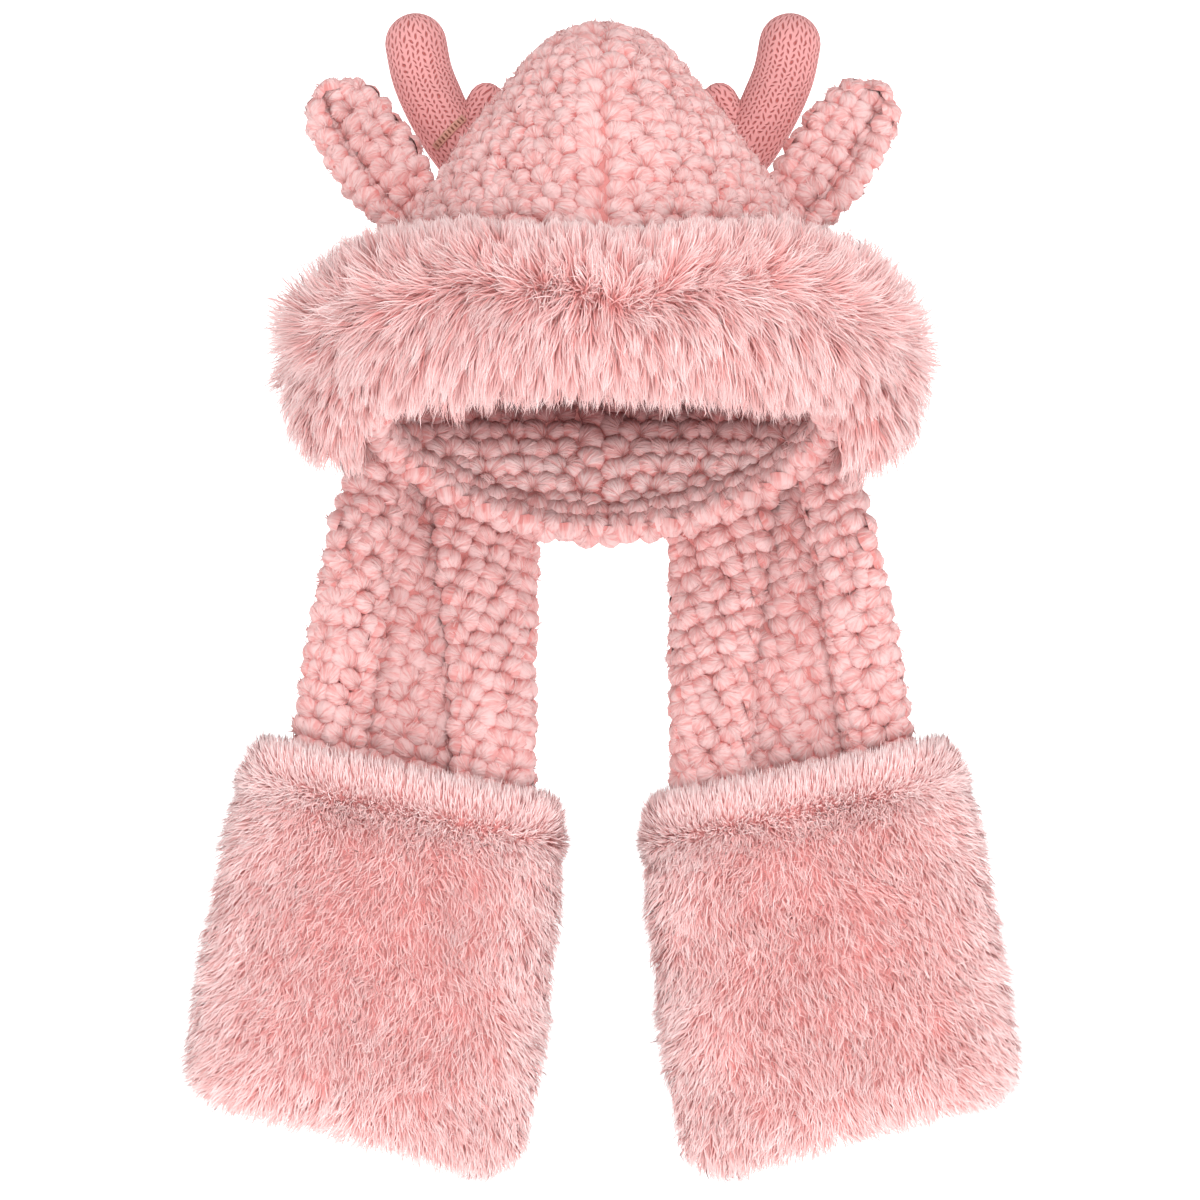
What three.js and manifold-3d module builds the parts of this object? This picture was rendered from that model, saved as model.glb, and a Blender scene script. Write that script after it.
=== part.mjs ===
// Animal hood scarf: a fleece hood with a fur brim, folded ears and knitted antlers, and two scarf arms
// that end in fur hand pockets. Millimetres, +Z up, the face looks along -Y, and the origin is the
// inside top of the crown, where a head carries the hood.
import * as THREE from "three";
import { mergeVertices } from "three/addons/utils/BufferGeometryUtils.js";
import Module from "manifold-3d";

const wasm = await Module();
wasm.setup();

// Clearance between pieces that touch
const gap = 0.3;

// Hood
const hoodWidth = 280;
const hoodFrontDepth = 100;
const hoodBackDepth = 105;
const napeDrop = 289;
const sideDrop = 227;
const foreheadDrop = 178;
const fleeceWall = 13;
const hemThickness = 19;
const hemHeight = 24;
const seamGroove = 3;
const seamHalfWidth = 9;

// Fur brim
const brimFrontDrop = 153;
const brimSideDrop = 184;
const brimReach = 98;
const brimEndRound = 14;
const brimTilt = 8;
const brimSideSwell = 1.24;
const brimSeat = 14;
const bandShort = 5;
const bandDepth = 30;
const bandHeight = 60;
const brimSkinDepth = 49;
const brimSkinHeight = 90;
const brimLockLength = 27;
const brimLockWidth = 36;
const brimLockColumns = 20;

// Ears
const earLength = 99;
const earWidth = 52;
const earThickness = 19;
const earCrease = 8;
const earLean = 34;
const earTurn = 12;
const earSeat = { side: 0.764, drop: 0.346 };
const earBack = 3;

// Antlers; places on the crown are shares of half the hood's width and of the drop to the nape
const antlerThickness = 36;
const antlerSquash = 0.86;
const tineThickness = 21;
const antlerBack = 0.362 * hoodBackDepth;
const antlerRoute = [
  { side: 0.421, drop: 0.305 },
  { side: 0.55, drop: 0.225 },
  { side: 0.636, drop: 0.166 },
  { side: 0.707, drop: 0.1 },
  { side: 0.757, drop: 0.038 },
  { side: 0.779, drop: -0.017 },
];
const tineRoute = [
  { side: 0.636, drop: 0.2 },
  { side: 0.55, drop: 0.149 },
  { side: 0.486, drop: 0.097 },
];
const tapeLength = 25;
const tapeWidth = 4.5;
const tapeThickness = 1.2;
const tapeSlant = 46;

// Scarf arms
const armWall = 10;
const armFoldGap = 1.5;
const armOverhang = 3;
const armTopOuter = hoodWidth / 2 + armOverhang;
const armBottomOuter = 186;
const armInner = 39;
const armFlapWidth = 48;
const armRidgeWidth = 43;
const armLap = 34;
const armTuck = 28;
const armTaper = 7;
const armWrap = 1.14 * (hoodWidth / 2);
const armTopBack = 0.84 * hoodBackDepth;

// Hand pockets
const pocketWidth = 191;
const pocketHeight = 214;
const pocketDepth = 70;
const pocketSide = 114;
const pocketDrop = 422;
const pocketBack = 33;
const pocketLean = 8.8;
const pocketTopSlope = 11.3;
const pocketBottomSlope = 15.3;
const pocketCorner = 27;
const pocketWall = 4;
const pileLength = 11;
const cuffHeight = 20;
const cuffRise = 7;
const pocketLockLength = 27;
const pocketLockWidth = 34;

const radians = THREE.MathUtils.degToRad;
const point = (x, y, z) => new THREE.Vector3(x, y, z);
const mix = THREE.MathUtils.lerp;
const up = point(0, 0, 1);
const onCrown = ({ side, drop }, back) => point((-side * hoodWidth) / 2, back, -drop * napeDrop);

// A smooth curve through one named column of a table, read at a place along another column
function column(table, along, name, at) {
  const last = table.length - 1;
  let i = 0;
  while (i < last - 1 && at > table[i + 1][along]) i += 1;
  const step = (k) => table[k + 1][along] - table[k][along];
  const slope = (k) => (table[k + 1][name] - table[k][name]) / step(k);
  const tangent = (k) => {
    if (k === 0) return slope(0);
    if (k === last) return slope(last - 1);
    const [a, b] = [slope(k - 1), slope(k)];
    return a * b <= 0 ? 0 : (2 * a * b) / (a + b);
  };
  const t = THREE.MathUtils.clamp((at - table[i][along]) / step(i), 0, 1);
  const [t2, t3] = [t * t, t * t * t];
  return (
    (2 * t3 - 3 * t2 + 1) * table[i][name] +
    (t3 - 2 * t2 + t) * step(i) * tangent(i) +
    (3 * t2 - 2 * t3) * table[i + 1][name] +
    (t3 - t2) * step(i) * tangent(i + 1)
  );
}

// A fixed spread of values from -1 to 1, so that locks of pile don't stand in ranks
function sway(i, j) {
  const wave = Math.sin(i * 12.99 + j * 78.23) * 437.58;
  return 2 * (wave - Math.floor(wave)) - 1;
}

// A closed body lofted through rings with equal numbers of points. Each end closes on a pole, or flat
// across a ring whose first half runs one way and whose second half comes back beside it.
function loft(rings, ends = ["pole", "pole"]) {
  const size = rings[0].length;
  const places = rings.flat();
  const faces = [];
  for (let r = 0; r + 1 < rings.length; r += 1) {
    for (let k = 0; k < size; k += 1) {
      const next = (k + 1) % size;
      const [a, b] = [r * size + k, r * size + next];
      const [c, d] = [b + size, a + size];
      const short = places[a].distanceTo(places[c]) < places[b].distanceTo(places[d]);
      faces.push(...(short ? [a, b, c, a, c, d] : [a, b, d, b, c, d]));
    }
  }
  ends.forEach((end, which) => {
    const start = which === 0 ? 0 : (rings.length - 1) * size;
    const turn = (a, b, c) => faces.push(...(which === 0 ? [a, c, b] : [a, b, c]));
    if (end === "pole") {
      const centre = point(0, 0, 0);
      for (let k = 0; k < size; k += 1) centre.addScaledVector(places[start + k], 1 / size);
      const pole = places.push(centre) - 1;
      for (let k = 0; k < size; k += 1) turn(start + k, start + ((k + 1) % size), pole);
      return;
    }
    for (let k = 0; k + 1 < size / 2; k += 1) {
      const [a, b] = [start + k, start + k + 1];
      const [c, d] = [start + size - 2 - k, start + size - 1 - k];
      if (b === c) continue;
      turn(a, b, c);
      turn(a, c, d);
    }
  });
  return outward(places, faces);
}

// The solid with its faces turned outward
function outward(places, faces) {
  let volume = 0;
  for (let f = 0; f < faces.length; f += 3) {
    const [a, b, c] = [places[faces[f]], places[faces[f + 1]], places[faces[f + 2]]];
    volume += a.dot(point(0, 0, 0).crossVectors(b, c));
  }
  const geometry = new THREE.BufferGeometry().setFromPoints(places);
  geometry.setIndex(volume < 0 ? faces.map((_, i) => faces[i - (i % 3) + [0, 2, 1][i % 3]]) : faces);
  return mergeVertices(geometry, 1e-4);
}

function solid(geometry) {
  const vertProperties = new Float32Array(geometry.getAttribute("position").array);
  const triVerts = new Uint32Array(geometry.index.array);
  return new wasm.Manifold(new wasm.Mesh({ numProp: 3, vertProperties, triVerts }));
}

// The geometry of a body's largest part, with the sliver faces along its cuts merged away
const sliver = 0.02;
function bodyOf(manifold) {
  const parts = manifold.asOriginal().simplify(sliver).decompose().sort((a, b) => b.volume() - a.volume());
  const mesh = parts[0].getMesh();
  const geometry = new THREE.BufferGeometry();
  geometry.setAttribute("position", new THREE.BufferAttribute(new Float32Array(mesh.vertProperties), 3));
  geometry.setIndex(new THREE.BufferAttribute(new Uint32Array(mesh.triVerts), 1));
  return geometry;
}

// The other side's copy of a piece, across the middle plane
function mirrored(geometry) {
  const copy = geometry.clone().scale(-1, 1, 1);
  const index = copy.index.array;
  for (let f = 0; f < index.length; f += 3) [index[f + 1], index[f + 2]] = [index[f + 2], index[f + 1]];
  return copy;
}

// Hood form: outline shares down from the top of the crown to the nape
const crown = [
  { down: 0, side: 0.0, front: 0.0, back: 0.0 },
  { down: 0.006, side: 0.095, front: 0.15, back: 0.16 },
  { down: 0.02, side: 0.17, front: 0.29, back: 0.31 },
  { down: 0.06, side: 0.29, front: 0.49, back: 0.52 },
  { down: 0.12, side: 0.398, front: 0.64, back: 0.69 },
  { down: 0.179, side: 0.503, front: 0.74, back: 0.79 },
  { down: 0.245, side: 0.607, front: 0.82, back: 0.87 },
  { down: 0.301, side: 0.693, front: 0.87, back: 0.92 },
  { down: 0.368, side: 0.786, front: 0.92, back: 0.96 },
  { down: 0.474, side: 0.886, front: 0.97, back: 1.0 },
  { down: 0.606, side: 0.957, front: 1.0, back: 0.98 },
  { down: 0.722, side: 0.985, front: 0.98, back: 0.88 },
  { down: 0.795, side: 1.0, front: 0.94, back: 0.78 },
  { down: 0.904, side: 1.0, front: 0.85, back: 0.62 },
  { down: 1.0, side: 1.0, front: 0.75, back: 0.48 },
];
const crownSpan = napeDrop + fleeceWall;

// How far down the hood's edge lies at an azimuth, 0 at the face and a half turn at the nape
function edgeDrop(azimuth) {
  const side = Math.abs(Math.sin(azimuth));
  if (Math.cos(azimuth) > 0) return mix(foreheadDrop, sideDrop, side ** 5);
  return mix(sideDrop, napeDrop, Math.abs(Math.cos(azimuth)) ** 1.7);
}

// A point of the crown's plain outer form
function crownPoint(azimuth, down) {
  const depth = Math.cos(azimuth) > 0
    ? hoodFrontDepth * column(crown, "down", "front", down)
    : hoodBackDepth * column(crown, "down", "back", down);
  const side = (hoodWidth / 2) * column(crown, "down", "side", down);
  return point(side * Math.sin(azimuth), -depth * Math.cos(azimuth), fleeceWall - down * crownSpan);
}

function crownNormal(azimuth, down) {
  const step = 0.004;
  const across = crownPoint(azimuth + step, down).sub(crownPoint(azimuth - step, down));
  const along = crownPoint(azimuth, down + step).sub(crownPoint(azimuth, Math.max(0, down - step)));
  return across.cross(along).negate().normalize();
}

// The seam is a groove between two ridges, and fades out at the top of the crown
function seamLift(azimuth, down) {
  const off = crownPoint(azimuth, down).x / seamHalfWidth;
  const fade = Math.min(1, down / 0.06);
  return fade * seamGroove * (Math.exp(-((Math.abs(off) - 1) ** 2) * 2.5) - 1.1 * Math.exp(-off * off * 6));
}

// A ring of the hood at a share of the way to its edge, raised by lift from the outer form
const hoodColumns = 28;
function hoodAzimuths(down) {
  const width = Math.max(1, (hoodWidth / 2) * column(crown, "down", "side", down));
  const first = Math.min(seamHalfWidth / width, Math.PI / 14);
  const second = Math.min((2.2 * seamHalfWidth) / width, Math.PI / 6);
  const quarter = [0, first, second];
  const more = hoodColumns / 4 - 3;
  for (let k = 1; k <= more; k += 1) quarter.push(mix(second, Math.PI / 2, k / (more + 1)));
  const half = [...quarter, Math.PI / 2, ...quarter.slice(1).map((a) => Math.PI - a).reverse(), Math.PI];
  return [...half, ...half.slice(1, -1).map((a) => 2 * Math.PI - a).reverse()];
}

function hoodRing(share, lift, seam = 1) {
  return hoodAzimuths(share).map((azimuth) => {
    const down = (share * (edgeDrop(azimuth) + fleeceWall)) / crownSpan;
    const raised = lift + seam * seamLift(azimuth, down);
    return crownPoint(azimuth, down).addScaledVector(crownNormal(azimuth, down), raised);
  });
}

const hoodLevels = [0.01, 0.05, 0.11, 0.19, 0.28, 0.39, 0.51, 0.65, 0.8];
const hemLevels = [
  { rise: 1.0, bulge: 0.0 },
  { rise: 0.62, bulge: 1.0 },
  { rise: 0.22, bulge: 0.85 },
];
const hemBulge = (hemThickness - fleeceWall) / 2;

function hoodOuterRings(extra) {
  const rings = hoodLevels.map((share) => hoodRing(share, extra));
  hemLevels.forEach(({ rise, bulge }) => {
    rings.push(hoodRing(1 - (rise * hemHeight) / crownSpan, extra + bulge * hemBulge, rise));
  });
  return rings;
}

function hoodShell() {
  const inner = hoodLevels.map((share) => hoodRing(share, -fleeceWall, -1));
  hemLevels.forEach(({ rise, bulge }) => {
    inner.push(hoodRing(1 - (rise * hemHeight) / crownSpan, -fleeceWall - bulge * hemBulge, -rise));
  });
  const edge = hoodRing(1, -fleeceWall / 2, 0);
  return loft([...hoodOuterRings(0), edge, ...inner.reverse()]);
}

// The hood filled solid and a clearance larger, which trims what is sewn on it
function hoodFilled() {
  const edge = hoodRing(1 + (3 * gap) / crownSpan, -fleeceWall / 2, 0);
  return solid(loft([...hoodOuterRings(gap), edge]));
}

// Brim form: a D-shaped roll on the hood round the face, from ear to ear
function brimFrame(azimuth) {
  const side = Math.sin(Math.abs(azimuth));
  const aside = Math.abs(azimuth) > Math.PI / 2 ? 1 : side ** 7;
  const drop = mix(brimFrontDrop, brimSideDrop, aside);
  const down = (drop + fleeceWall) / crownSpan;
  const out = crownNormal(azimuth, down).setZ(0).normalize();
  const lean = radians(brimTilt);
  const rise = up.clone().multiplyScalar(Math.cos(lean)).addScaledVector(out, -Math.sin(lean));
  return { foot: crownPoint(azimuth, down), out, rise, swell: mix(1, brimSideSwell, side ** 5) };
}

const brimProfile = [
  { turn: -90, back: 1 },
  { turn: -90, back: 0 },
  { turn: -62, back: 0 },
  { turn: -36, back: 0 },
  { turn: -12, back: 0 },
  { turn: 12, back: 0 },
  { turn: 36, back: 0 },
  { turn: 62, back: 0 },
  { turn: 90, back: 0 },
  { turn: 90, back: 1 },
];

function brimPoint(azimuth, depth, height, turn, size = 1, grow = 0) {
  const { foot, out, rise, swell } = brimFrame(azimuth);
  const angle = radians(turn);
  const away = Math.max(0, Math.cos(angle)) ** 0.8 * (depth * size + grow);
  const raised = Math.sin(angle) * ((height / 2) * swell * size + grow);
  return foot.addScaledVector(out, away).addScaledVector(rise, raised);
}

// Rings of the roll from one end to the other; grow makes it larger all round by that much
function brimRings(depth, height, reach, grow = 0) {
  const stations = 23;
  const rings = [];
  for (let i = 0; i <= stations; i += 1) {
    const share = (2 * i) / stations - 1;
    const azimuth = radians(reach) * Math.sign(share) * Math.abs(share) ** 0.85;
    const left = (radians(reach) - Math.abs(azimuth)) / radians(brimEndRound);
    const size = left >= 1 ? 1 : Math.sqrt(Math.max(0.06, 1 - (1 - left) ** 2));
    const { out } = brimFrame(azimuth);
    const onward = point(0, 0, 0).crossVectors(up, out);
    const past = i === 0 ? -grow : i === stations ? grow : 0;
    rings.push(brimProfile.map(({ turn, back }) => {
      const place = brimPoint(azimuth, depth, height, turn, size, grow);
      return place.addScaledVector(out, -back * brimSeat).addScaledVector(onward, past);
    }));
  }
  return rings;
}

// A lock of pile: three-sided, wide at its root, leaning to its tip
function lock(root, lean, across, width, length) {
  const out = lean.clone().normalize();
  const side = across.clone().normalize();
  const thick = point(0, 0, 0).crossVectors(out, side).normalize();
  const base = root.clone().addScaledVector(out, -0.3 * length);
  const ring = [
    base.clone().addScaledVector(side, width / 2).addScaledVector(thick, -width / 5),
    base.clone().addScaledVector(thick, width / 3),
    base.clone().addScaledVector(side, -width / 2).addScaledVector(thick, -width / 5),
  ];
  const places = [...ring, root.clone().addScaledVector(out, length)];
  return solid(outward(places, [0, 1, 2, 0, 3, 1, 1, 3, 2, 2, 3, 0]));
}

const brimLockRows = [
  { turn: 62, comb: 68, out: 0.9 },
  { turn: 26, comb: 34, out: 1.0 },
  { turn: -14, comb: -44, out: 1.0 },
  { turn: -52, comb: -78, out: 1.0 },
];

function brimLocks() {
  const locks = [];
  brimLockRows.forEach(({ turn, comb, out }, row) => {
    for (let i = 0; i < brimLockColumns; i += 1) {
      const share = (2 * (i + 0.5 * (row % 2) + 0.25)) / brimLockColumns - 1;
      const azimuth = share * radians(brimReach - brimEndRound / 3);
      const root = brimPoint(azimuth, brimSkinDepth, brimSkinHeight, turn + 5 * sway(i, row), 0.94);
      const frame = brimFrame(azimuth);
      const swept = radians(comb + 8 * sway(row, i));
      const along = point(0, 0, 0).crossVectors(up, frame.out).multiplyScalar(Math.sign(azimuth || 1));
      const lean = frame.out.clone().multiplyScalar(Math.cos(swept))
        .addScaledVector(frame.rise, Math.sin(swept))
        .addScaledVector(along, 0.25 * Math.abs(share) + 0.12 * sway(i + 7, row));
      const length = brimLockLength * out * (0.9 + 0.15 * sway(i, row + 9));
      locks.push(lock(root, lean, along, brimLockWidth, length));
    }
  });
  return locks;
}

// Ear form: width shares along its length, and a section folded lengthwise
const earOutline = [
  { along: -0.27, half: 0.62 },
  { along: 0.0, half: 0.78 },
  { along: 0.25, half: 0.95 },
  { along: 0.45, half: 1.0 },
  { along: 0.62, half: 0.98 },
  { along: 0.8, half: 0.88 },
  { along: 0.92, half: 0.64 },
  { along: 0.985, half: 0.28 },
];
const earSection = [
  { across: -1.0, depth: 0.0, crease: 0 },
  { across: -0.86, depth: -0.36, crease: 0 },
  { across: -0.66, depth: -0.44, crease: 0 },
  { across: -0.42, depth: -0.34, crease: 1 },
  { across: -0.16, depth: -0.48, crease: 0 },
  { across: 0.3, depth: -0.5, crease: 0 },
  { across: 0.76, depth: -0.4, crease: 0 },
  { across: 1.0, depth: 0.0, crease: 0 },
  { across: 0.76, depth: 0.4, crease: 0 },
  { across: 0.25, depth: 0.5, crease: 0 },
  { across: -0.3, depth: 0.5, crease: 0 },
  { across: -0.8, depth: 0.38, crease: 0 },
];

function ear(filled) {
  const lean = radians(earLean);
  const along = point(-Math.sin(lean), 0, Math.cos(lean));
  const across = point(Math.cos(lean), 0, Math.sin(lean));
  const seat = onCrown(earSeat, earBack);
  const rings = earOutline.map(({ along: share, half }) => {
    const middle = seat.clone().addScaledVector(along, share * earLength);
    const thin = Math.min(1, 0.35 + half * 0.7) * earThickness;
    return earSection.map((spot) => {
      const crease = spot.crease * earCrease * Math.min(1, half * half);
      const place = middle.clone().addScaledVector(across, (spot.across * half * earWidth) / 2);
      place.y += spot.depth * thin + crease;
      return place;
    });
  });
  const geometry = loft(rings);
  geometry.translate(-seat.x, -seat.y, -seat.z);
  geometry.rotateX(radians(-earTurn));
  geometry.translate(seat.x, seat.y, seat.z);
  return bodyOf(solid(geometry).subtract(filled));
}

// Antler form: a stuffed tube with a round end
const antlerSides = 12;
function stuffedTube(route, thickness) {
  const spots = route.map((spot) => onCrown(spot, antlerBack));
  const curve = new THREE.CatmullRomCurve3(spots, false, "centripetal");
  const steps = route.length + 1;
  const rings = [];
  const ringAt = (middle, along, size) => {
    const across = point(along.z, 0, -along.x).normalize();
    const ring = [];
    for (let k = 0; k < antlerSides; k += 1) {
      const turn = (2 * Math.PI * k) / antlerSides;
      const place = middle.clone().addScaledVector(across, (Math.cos(turn) * size * thickness) / 2);
      place.y += (Math.sin(turn) * size * antlerSquash * thickness) / 2;
      ring.push(place);
    }
    return ring;
  };
  for (let i = 0; i <= steps; i += 1) {
    const share = i / steps;
    const slim = 0.9 + 0.1 * Math.min(1, share * 1.5);
    rings.push(ringAt(curve.getPointAt(share), curve.getTangentAt(share), slim));
  }
  const [tip, heading] = [curve.getPointAt(1), curve.getTangentAt(1)];
  [38, 70].forEach((turn) => {
    const middle = tip.clone().addScaledVector(heading, (Math.sin(radians(turn)) * thickness) / 2);
    rings.push(ringAt(middle, heading, Math.cos(radians(turn))));
  });
  return solid(loft(rings));
}

function antlerForm(grow) {
  const beam = stuffedTube(antlerRoute, antlerThickness + 2 * grow);
  return beam.add(stuffedTube(tineRoute, tineThickness + 2 * grow));
}

// The tape lies across the antler's front where the tine leaves it
function tape() {
  const slant = radians(tapeSlant);
  const along = point(Math.cos(slant), 0, Math.sin(slant));
  const down = point(Math.sin(slant), 0, -Math.cos(slant));
  const half = antlerThickness / 2;
  const middle = onCrown(antlerRoute[2], antlerBack);
  const rings = [];
  const spans = 6;
  for (let i = 0; i <= spans; i += 1) {
    const off = (i / spans - 0.5) * tapeLength;
    const front = Math.sqrt(Math.max(0, 1 - (off / half) ** 2)) * half * antlerSquash;
    const spot = middle.clone().addScaledVector(along, off);
    const corner = (across, lift) => {
      const place = spot.clone().addScaledVector(down, across * tapeWidth);
      place.y -= front + lift;
      return place;
    };
    const outer = gap + tapeThickness;
    rings.push([corner(-0.5, -half / 3), corner(0.5, -half / 3), corner(0.5, outer), corner(-0.5, outer)]);
  }
  return bodyOf(solid(loft(rings, ["flat", "flat"])).subtract(antlerForm(gap)));
}

// Pocket form, for the pocket at the left: where a share across and a share down lie
function pocketSpot(across, down) {
  const lean = radians(pocketLean);
  const slope = radians(mix(pocketTopSlope, pocketBottomSlope, down));
  const spot = point(-pocketSide, pocketBack, -pocketDrop);
  spot.x += -Math.sin(lean) * down * pocketHeight + (across * pocketWidth * Math.cos(slope)) / 2;
  spot.z += -Math.cos(lean) * down * pocketHeight - (across * pocketWidth * Math.sin(slope)) / 2;
  return spot;
}

// Rows down the pocket: how full and how wide it is there
const pocketRows = [
  { down: 0.0, full: 0.9, wide: 0.98 },
  { down: 0.22, full: 1.0, wide: 1.01 },
  { down: 0.5, full: 0.98, wide: 1.04 },
  { down: 0.74, full: 0.88, wide: 1.05 },
  { down: 1.0, full: 0.8, wide: 1.05 },
];

// One level ring of a pocket, drawn in from the fur's outline by a margin on all sides
const pocketSides = 14;
function pocketRing(down, margin, squeeze, full) {
  const ring = [];
  const half = (pocketWidth / 2) * column(pocketRows, "down", "wide", down) - margin - squeeze;
  const thick = (pocketDepth * full) / 2 - margin;
  for (let k = 0; k < pocketSides; k += 1) {
    const turn = (2 * Math.PI * (k + 0.5)) / pocketSides;
    const [c, s] = [Math.cos(turn), Math.sin(turn)];
    const across = Math.sign(c) * Math.abs(c) ** 0.55 * half;
    const place = pocketSpot(across / (pocketWidth / 2), down);
    place.y += Math.sign(s) * Math.abs(s) ** 0.62 * thick;
    ring.push(place);
  }
  return ring;
}

// Rings from a place near the mouth down to the round-cornered bottom; grow is added all round
function pocketRings(margin, topDown, grow = 0) {
  const rings = pocketRows.slice(0, -1).map(({ down, full }, i) => {
    return pocketRing(i === 0 ? topDown : down, margin - grow, 0, full);
  });
  const corner = pocketCorner - margin / 2;
  const bottom = pocketHeight - margin;
  [0, 32, 60, 82].forEach((turn) => {
    const sine = Math.sin(radians(turn));
    const down = (bottom - corner + corner * sine + grow * sine) / pocketHeight;
    const squeeze = corner * (1 - Math.cos(radians(turn)));
    rings.push(pocketRing(down, margin - grow, squeeze, mix(0.8, 0.46, sine ** 2)));
  });
  return rings;
}

const bagLip = cuffRise / pocketHeight;

function pocketBag() {
  const outer = pocketRings(pileLength, bagLip);
  const inner = pocketRings(pileLength + pocketWall, bagLip);
  const lipDown = bagLip - pocketWall / 2 / pocketHeight;
  const lip = pocketRing(lipDown, pileLength + pocketWall / 2, 0, pocketRows[0].full);
  return loft([...inner.reverse(), lip, ...outer]);
}

const pocketLockRows = [0.25, 0.43, 0.6, 0.77, 0.92];
const pocketLockColumns = 5;

function pocketLocks() {
  const locks = [];
  [-1, 1].forEach((face) => {
    pocketLockRows.forEach((down, row) => {
      for (let i = 0; i < pocketLockColumns; i += 1) {
        const across = (2 * (i + 0.5 * (row % 2) + 0.25)) / pocketLockColumns - 1;
        const low = Math.max(0, down - 0.7);
        const root = pocketSpot(across * (0.95 - 0.5 * low), down);
        root.y += face * (pocketDepth / 2 - pileLength) * (1 - 0.4 * across ** 4 - 1.2 * low);
        const next = pocketSpot(across * 1.12 + 0.05 * sway(i, row), down + 0.18);
        const lean = next.sub(pocketSpot(across, down)).normalize();
        lean.y += face * 0.3;
        const width = pocketLockWidth * (1 + 0.15 * sway(row, i));
        locks.push(lock(root, lean, point(1, 0, 0), width, pocketLockLength));
      }
    });
  });
  return locks;
}

// The pile round the bag, with a roll at the mouth and a crease below it
const cuffRows = [
  { at: 1.6, inset: 0.3 },
  { at: 1.2, inset: 0.42 },
  { at: 0.9, inset: 0.1 },
  { at: 0.45, inset: 0.0 },
  { at: 0.1, inset: 0.25 },
  { at: 0.0, inset: 0.8 },
];

// The pile's form, filled; grow is added all round
function pileForm(grow) {
  const cuff = cuffRows.map(({ at, inset }, i) => {
    const down = (at * cuffHeight - (i === cuffRows.length - 1 ? grow : 0)) / pocketHeight;
    return pocketRing(down, inset * pileLength - grow, 0, pocketRows[0].full);
  });
  const skin = pocketRings(pileLength * 0.3, 0, grow).slice(1);
  return solid(loft([...cuff.reverse(), ...skin]));
}

// The space inside a margin, open above the mouth
function pocketSpace(margin, grow) {
  const rings = pocketRings(margin, bagLip, grow);
  const above = rings[0].map((place) => place.clone().addScaledVector(up, 2 * cuffHeight));
  return solid(loft([above, ...rings]));
}

function pocketFur() {
  const room = pocketSpace(pileLength, gap);
  return bodyOf(wasm.Manifold.union([pileForm(0), ...pocketLocks()]).subtract(room));
}

// The walls of a pocket and its pile together, a clearance larger, which trim what goes in at the mouth
function pocketWalls() {
  return pileForm(gap).subtract(pocketSpace(pileLength + pocketWall, -gap));
}

// Arm form, for the arm at the left: shares of the named widths down its length
const armRows = [
  { along: 0.0, flare: 0.0, flap: 1.46, ridge: 0.62, wrap: 1.0 },
  { along: 0.11, flare: 0.06, flap: 1.43, ridge: 0.64, wrap: 0.93 },
  { along: 0.27, flare: 0.27, flap: 1.31, ridge: 0.74, wrap: 0.72 },
  { along: 0.47, flare: 0.52, flap: 1.15, ridge: 0.84, wrap: 0.38 },
  { along: 0.68, flare: 0.76, flap: 1.04, ridge: 0.95, wrap: 0.1 },
  { along: 0.88, flare: 0.93, flap: 1.0, ridge: 1.0, wrap: 0.0 },
  { along: 1.0, flare: 1.0, flap: 0.92, ridge: 0.95, wrap: 0.0 },
];
const armTuckShare = 0.13;
const armLayers = armWall + armFoldGap;
const mouthDepth = pocketDepth * pocketRows[0].full - 2 * (pileLength + pocketWall);
const armBottomBack = pocketBack + mouthDepth / 2 - armWall / 2;

function armHeight(x, along) {
  const lapSlope = (napeDrop - sideDrop) / (hoodWidth / 2);
  const top = -sideDrop + armLap - (armTopOuter + x) * lapSlope;
  const mouth = pocketSpot((x + pocketSide) / (pocketWidth / 2), 0).z;
  return mix(top, mouth - cuffRise - armTuck, along);
}

// A point of the arm at a place across it and a depth behind its back layer's middle
function armPoint(x, depth, along) {
  const wrap = column(armRows, "along", "wrap", along);
  const bend = (at) => {
    const round = Math.sqrt(Math.max(0.05, 1 - (at / armWrap) ** 2));
    return mix(armBottomBack, armTopBack * round, wrap);
  };
  const slope = bend(x + 1) - bend(x - 1);
  const normal = point(-slope, 2, 0).normalize();
  return point(x, bend(x), armHeight(x, along)).addScaledVector(normal, depth);
}

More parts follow.
